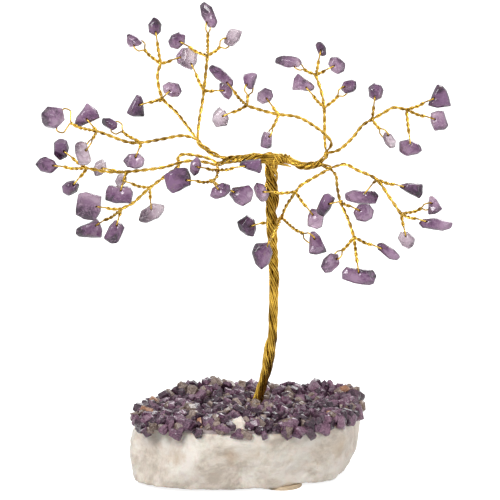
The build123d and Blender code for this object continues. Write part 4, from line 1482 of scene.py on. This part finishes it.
@dataclass
class Bed:
    """The strewn bed of small chips, heaped to the block's rim.

    Lengths are in millimetres, and a chip's breadth, thickness and wear are shares of its length. The marked
    chips are (tone, across, back, up, length), where the photograph shows one that stands out.
    """

    materials: dict[str, bpy.types.Material]
    count: int = 640
    spilt: int = 70
    seed: int = 8
    lengths: tuple[float, float] = (2.7, 5.0)
    breadths: tuple[float, float] = (0.6, 0.95)
    thicknesses: tuple[float, float] = (0.4, 0.7)
    wear: tuple[float, float] = (0.12, 0.25)
    ragged: tuple[float, float] = (0.78, 1.14)
    cover: float = 0.97
    rim_cover: float = 1.015
    front: float = -1.05
    level: tuple[float, float] = (0, 0.55)
    spill: tuple[float, float] = (-0.8, 0.5)
    foot: float = 2.9
    heap: float = 2.4
    heap_at: tuple[float, float] = (-13.0, 17.0)
    heap_width: float = 13.0
    marked: tuple[tuple[str, float, float, float, float], ...] = (
        ("amber", 35.3, 17.5, 26.0, 4.2), ("amber", -31.3, 7.2, 25.6, 3.6), ("amber", 30.5, -5.5, 25.0, 3.0),
        ("pale", 6.6, 9.6, 26.0, 4.4), ("pale", 4.2, 5.6, 25.2, 3.2), ("quartz", -1.9, -20.5, 24.4, 6.2),
        ("quartz", -2.6, -21.0, 23.4, 4.8))

    def outline(self, cover: float) -> list[tuple[float, float]]:
        """Gives an outline like the block's plan.

        Args:
            cover: Its share of the plan.

        Returns:
            Its corners.
        """
        return [(BLOCK_X + BLOCK_LENGTH / 2 * (cover * x + RIM_RIGHT),
                 BLOCK_Y + BLOCK_DEPTH / 2 * (cover * y + RIM_BACK)) for x, y in BLOCK_PLAN_SHARES]

    @staticmethod
    def inside(outline: list[tuple[float, float]], x: float, y: float) -> bool:
        """Says whether a point lies inside an outline.

        Args:
            outline: Corners of the outline.
            x: The point's place across.
            y: Its place towards the back.

        Returns:
            Whether it does.
        """
        found = False
        for (x0, y0), (x1, y1) in zip(outline, outline[1:] + outline[:1]):
            if (y0 > y) != (y1 > y) and x < x0 + (x1 - x0) * (y - y0) / (y1 - y0):
                found = not found
        return found

    def pebble(self, shape: bmesh.types.BMesh, shade: bmesh.types.BMLayerItem, at: Vector, size: float,
               chance: random.Random) -> None:
        """Adds one small chip.

        Args:
            shape: Mesh that it joins.
            shade: Layer that keeps how pale it is.
            at: Its middle, in millimetres.
            size: Its length.
            chance: Source of its odd shape.
        """
        made = bmesh.ops.create_cube(shape, size=1.0)
        edges = {edge for vert in made["verts"] for edge in vert.link_edges}
        worn = bmesh.ops.bevel(shape, geom=list(edges), offset=chance.uniform(*self.wear), segments=1,
                               affect="EDGES", clamp_overlap=True)
        turn = Quaternion([chance.gauss(0, 1) for _ in range(4)])
        turn.normalize()
        stretch = Vector((1, chance.uniform(*self.breadths), chance.uniform(*self.thicknesses)))
        pale = chance.random()
        for vert in worn["verts"]:
            vert.co = Vector(a * b for a, b in zip(vert.co, stretch)) * size * chance.uniform(*self.ragged)
            vert.co = (turn @ vert.co + at) * MM
            vert[shade] = pale

    def places(self, chance: random.Random) -> list[Vector]:
        """Strews places over the block's top, and some more along its rim.

        Args:
            chance: Source of the places.

        Returns:
            The places.
        """
        whole, rim = self.outline(self.cover), self.outline(self.cover * self.rim_cover)
        found = []
        while len(found) < self.count:
            x = BLOCK_X + BLOCK_LENGTH / 2 * chance.uniform(-1, 1)
            y = BLOCK_Y + BLOCK_DEPTH / 2 * chance.uniform(self.front, 1)
            footed = hypot(x - BLOCK_X - SOCKET_X, y - BLOCK_Y - SOCKET_Y) < self.foot
            if footed or not self.inside(whole, x, y):
                continue
            far = hypot(x - BLOCK_X - self.heap_at[0], y - BLOCK_Y - self.heap_at[1]) / self.heap_width
            lift = self.heap * max(0.0, 1 - far * far)
            up = BLOCK_TOP + RESIN_THICKNESS + chance.uniform(*self.level) * GRIT_HEIGHT + lift
            found.append(Vector((x, y, up)))
        for _ in range(self.spilt):
            start = chance.randrange(len(rim))
            share = chance.random()
            (x0, y0), (x1, y1) = rim[start], rim[(start + 1) % len(rim)]
            up = BLOCK_TOP - chance.uniform(*self.spill)
            found.append(Vector((x0 + (x1 - x0) * share, y0 + (y1 - y0) * share, up)))
        return found

    def build(self) -> None:
        """Strews the bed, one piece for each tone."""
        chance = random.Random(self.seed)
        names = tuple(BED_TONE_SHARES)
        shapes = {name: bmesh.new() for name in (*names, "quartz")}
        shades = {name: shape.verts.layers.float.new("shade") for name, shape in shapes.items()}
        for at in self.places(chance):
            name = chance.choices(names, BED_TONE_SHARES.values())[0]
            self.pebble(shapes[name], shades[name], at, chance.uniform(*self.lengths), chance)
        for name, x, y, z, size in self.marked:
            self.pebble(shapes[name], shades[name], Vector((x, y, z)), size, chance)
        for name, shape in shapes.items():
            piece = finished(shape, f"bed_{name}", [self.materials[name]])
            if name in names:
                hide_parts(f"bed_chips_{name}")
            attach(piece, "tree")
            LOG.info("bed of %s chips", name)


@dataclass(frozen=True)
class Lamp:
    """A soft lamp that looks at the tree: its place and width in metres and its power in watts."""

    name: str
    at: tuple[float, float, float]
    width: float
    power: float
    aim: tuple[float, float, float] = (0, 0, 0.08)

    def build(self) -> None:
        """Adds the lamp to the scene."""
        data = bpy.data.lights.new(self.name, "AREA")
        data.size = self.width
        data.energy = self.power
        made = link(data, self.name)
        made.location = self.at
        made.rotation_euler = (Vector(self.aim) - Vector(self.at)).to_track_quat("-Z", "Y").to_euler()


LAMPS = (
    Lamp("key", (-0.45, -0.75, 0.75), 0.45, 9.0),
    Lamp("fill", (0.8, -0.6, 0.35), 0.6, 3.0),
    Lamp("back", (0.3, 0.8, 0.6), 0.5, 4.0),
)


@dataclass
class Studio:
    """The camera, the lamps, the sky and the pale floor.

    Distances are in metres, apart from the sensor's millimetres. The picture's middle is in its pixels. The
    sky goes from its low to its high strength between two heights of the view, as shares of straight up.
    """

    distance: float = 6.0
    sensor: float = 36.0
    farthest: float = 100.0
    middle: tuple[float, float] = (250.0, 250.0)
    picture: float = 500.0
    sky_from: float = -0.1
    sky_to: float = 0.9
    low: float = 0.10
    high: float = 0.85
    floor_half: float = 3.0
    floor_grey: float = 0.45
    floor_lift: float = 0.85

    def camera(self) -> None:
        """Sets the camera at the photograph's angle."""
        data = bpy.data.cameras.new("camera")
        data.sensor_width = self.sensor
        data.lens = data.sensor_width * self.distance / (BOARD * MM)
        data.clip_end = self.farthest
        made = link(data, "camera")
        across, down = (pixel / self.picture for pixel in self.middle)
        aim = place(across, down, 0) * MM
        made.location = aim + TO_VIEWER * self.distance
        made.rotation_euler = (-TO_VIEWER).to_track_quat("-Z", "Y").to_euler()
        bpy.context.scene.camera = made

    @staticmethod
    def seen(tree: bpy.types.NodeTree) -> bpy.types.NodeSocket:
        """Tells rays that show the background, also in metal and stone, from those that light the tree.

        Args:
            tree: Node tree of the world or a material.

        Returns:
            A value of 1 for rays that show the background.
        """
        rays = tree.nodes.new("ShaderNodeLightPath")
        shown = rays.outputs["Is Camera Ray"]
        for name in ("Is Glossy Ray", "Is Transmission Ray"):
            either = tree.nodes.new("ShaderNodeMath")
            either.operation = "MAXIMUM"
            tree.links.new(shown, either.inputs[0])
            tree.links.new(rays.outputs[name], either.inputs[1])
            shown = either.outputs[0]
        return shown

    def world(self) -> None:
        """Makes a background that is seen as white and a sky that lights the tree from above."""
        world = bpy.data.worlds.new("studio")
        bpy.context.scene.world = world
        world.use_nodes = True
        tree = world.node_tree
        where = tree.nodes.new("ShaderNodeTexCoord")
        split = tree.nodes.new("ShaderNodeSeparateXYZ")
        tree.links.new(where.outputs["Generated"], split.inputs["Vector"])
        sky = tree.nodes.new("ShaderNodeMapRange")
        spread = {"From Min": self.sky_from, "From Max": self.sky_to, "To Min": self.low, "To Max": self.high}
        for name, value in spread.items():
            sky.inputs[name].default_value = value
        tree.links.new(split.outputs["Z"], sky.inputs["Value"])
        strength = tree.nodes.new("ShaderNodeMix")
        tree.links.new(self.seen(tree), strength.inputs[0])
        tree.links.new(sky.outputs["Result"], strength.inputs[2])
        strength.inputs[3].default_value = 1.0
        back = tree.nodes["Background"]
        back.inputs["Color"].default_value = (1, 1, 1, 1)
        tree.links.new(strength.outputs[0], back.inputs["Strength"])

    def floor(self) -> None:
        """Lays the pale floor, which looks white where the tree doesn't shade it."""
        shape = bmesh.new()
        bmesh.ops.create_grid(shape, x_segments=1, y_segments=1, size=self.floor_half)
        nodes = Nodes("pale_floor")
        grey = self.floor_grey
        nodes.set(Roughness=0.9, Base_Color=(grey, grey, grey, 1), Emission_Color=(1, 1, 1, 1))
        lift = nodes.add("ShaderNodeMath", operation="MULTIPLY")
        lift.inputs[1].default_value = self.floor_lift
        nodes.join(self.seen(nodes.tree), lift.inputs[0])
        nodes.join(lift.outputs[0], nodes.shader.inputs["Emission Strength"])
        finished(shape, "floor", [nodes.material])

    def build(self) -> None:
        """Sets up the studio."""
        self.camera()
        self.world()
        self.floor()
        for lamp in LAMPS:
            lamp.build()
        bpy.context.scene.view_settings.view_transform = "Standard"


def main() -> None:
    """Builds and dresses the tree."""
    logging.basicConfig(level=logging.INFO, format="%(message)s")
    Studio().build()
    Crown(tuple(finish.make() for finish in GILTS)).build()
    Stones({finish.tone: finish.make() for finish in AMETHYSTS}).build()
    quartz = Quartz().make()
    Block(
        quartz,
        Plain("clear_resin", (0.52, 0.44, 0.42), (0.30, 0.22, 0.24), 260, 0.2, 0.2).make(),
        Plain("foam_pad", (0.66, 0.52, 0.36), (0.52, 0.40, 0.27), 700, 0.8).make(),
    ).build()
    Bed({finish.name: finish.make() for finish in GRITS} | {"quartz": quartz}).build()
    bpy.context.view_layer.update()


if __name__ == "__main__":
    main()
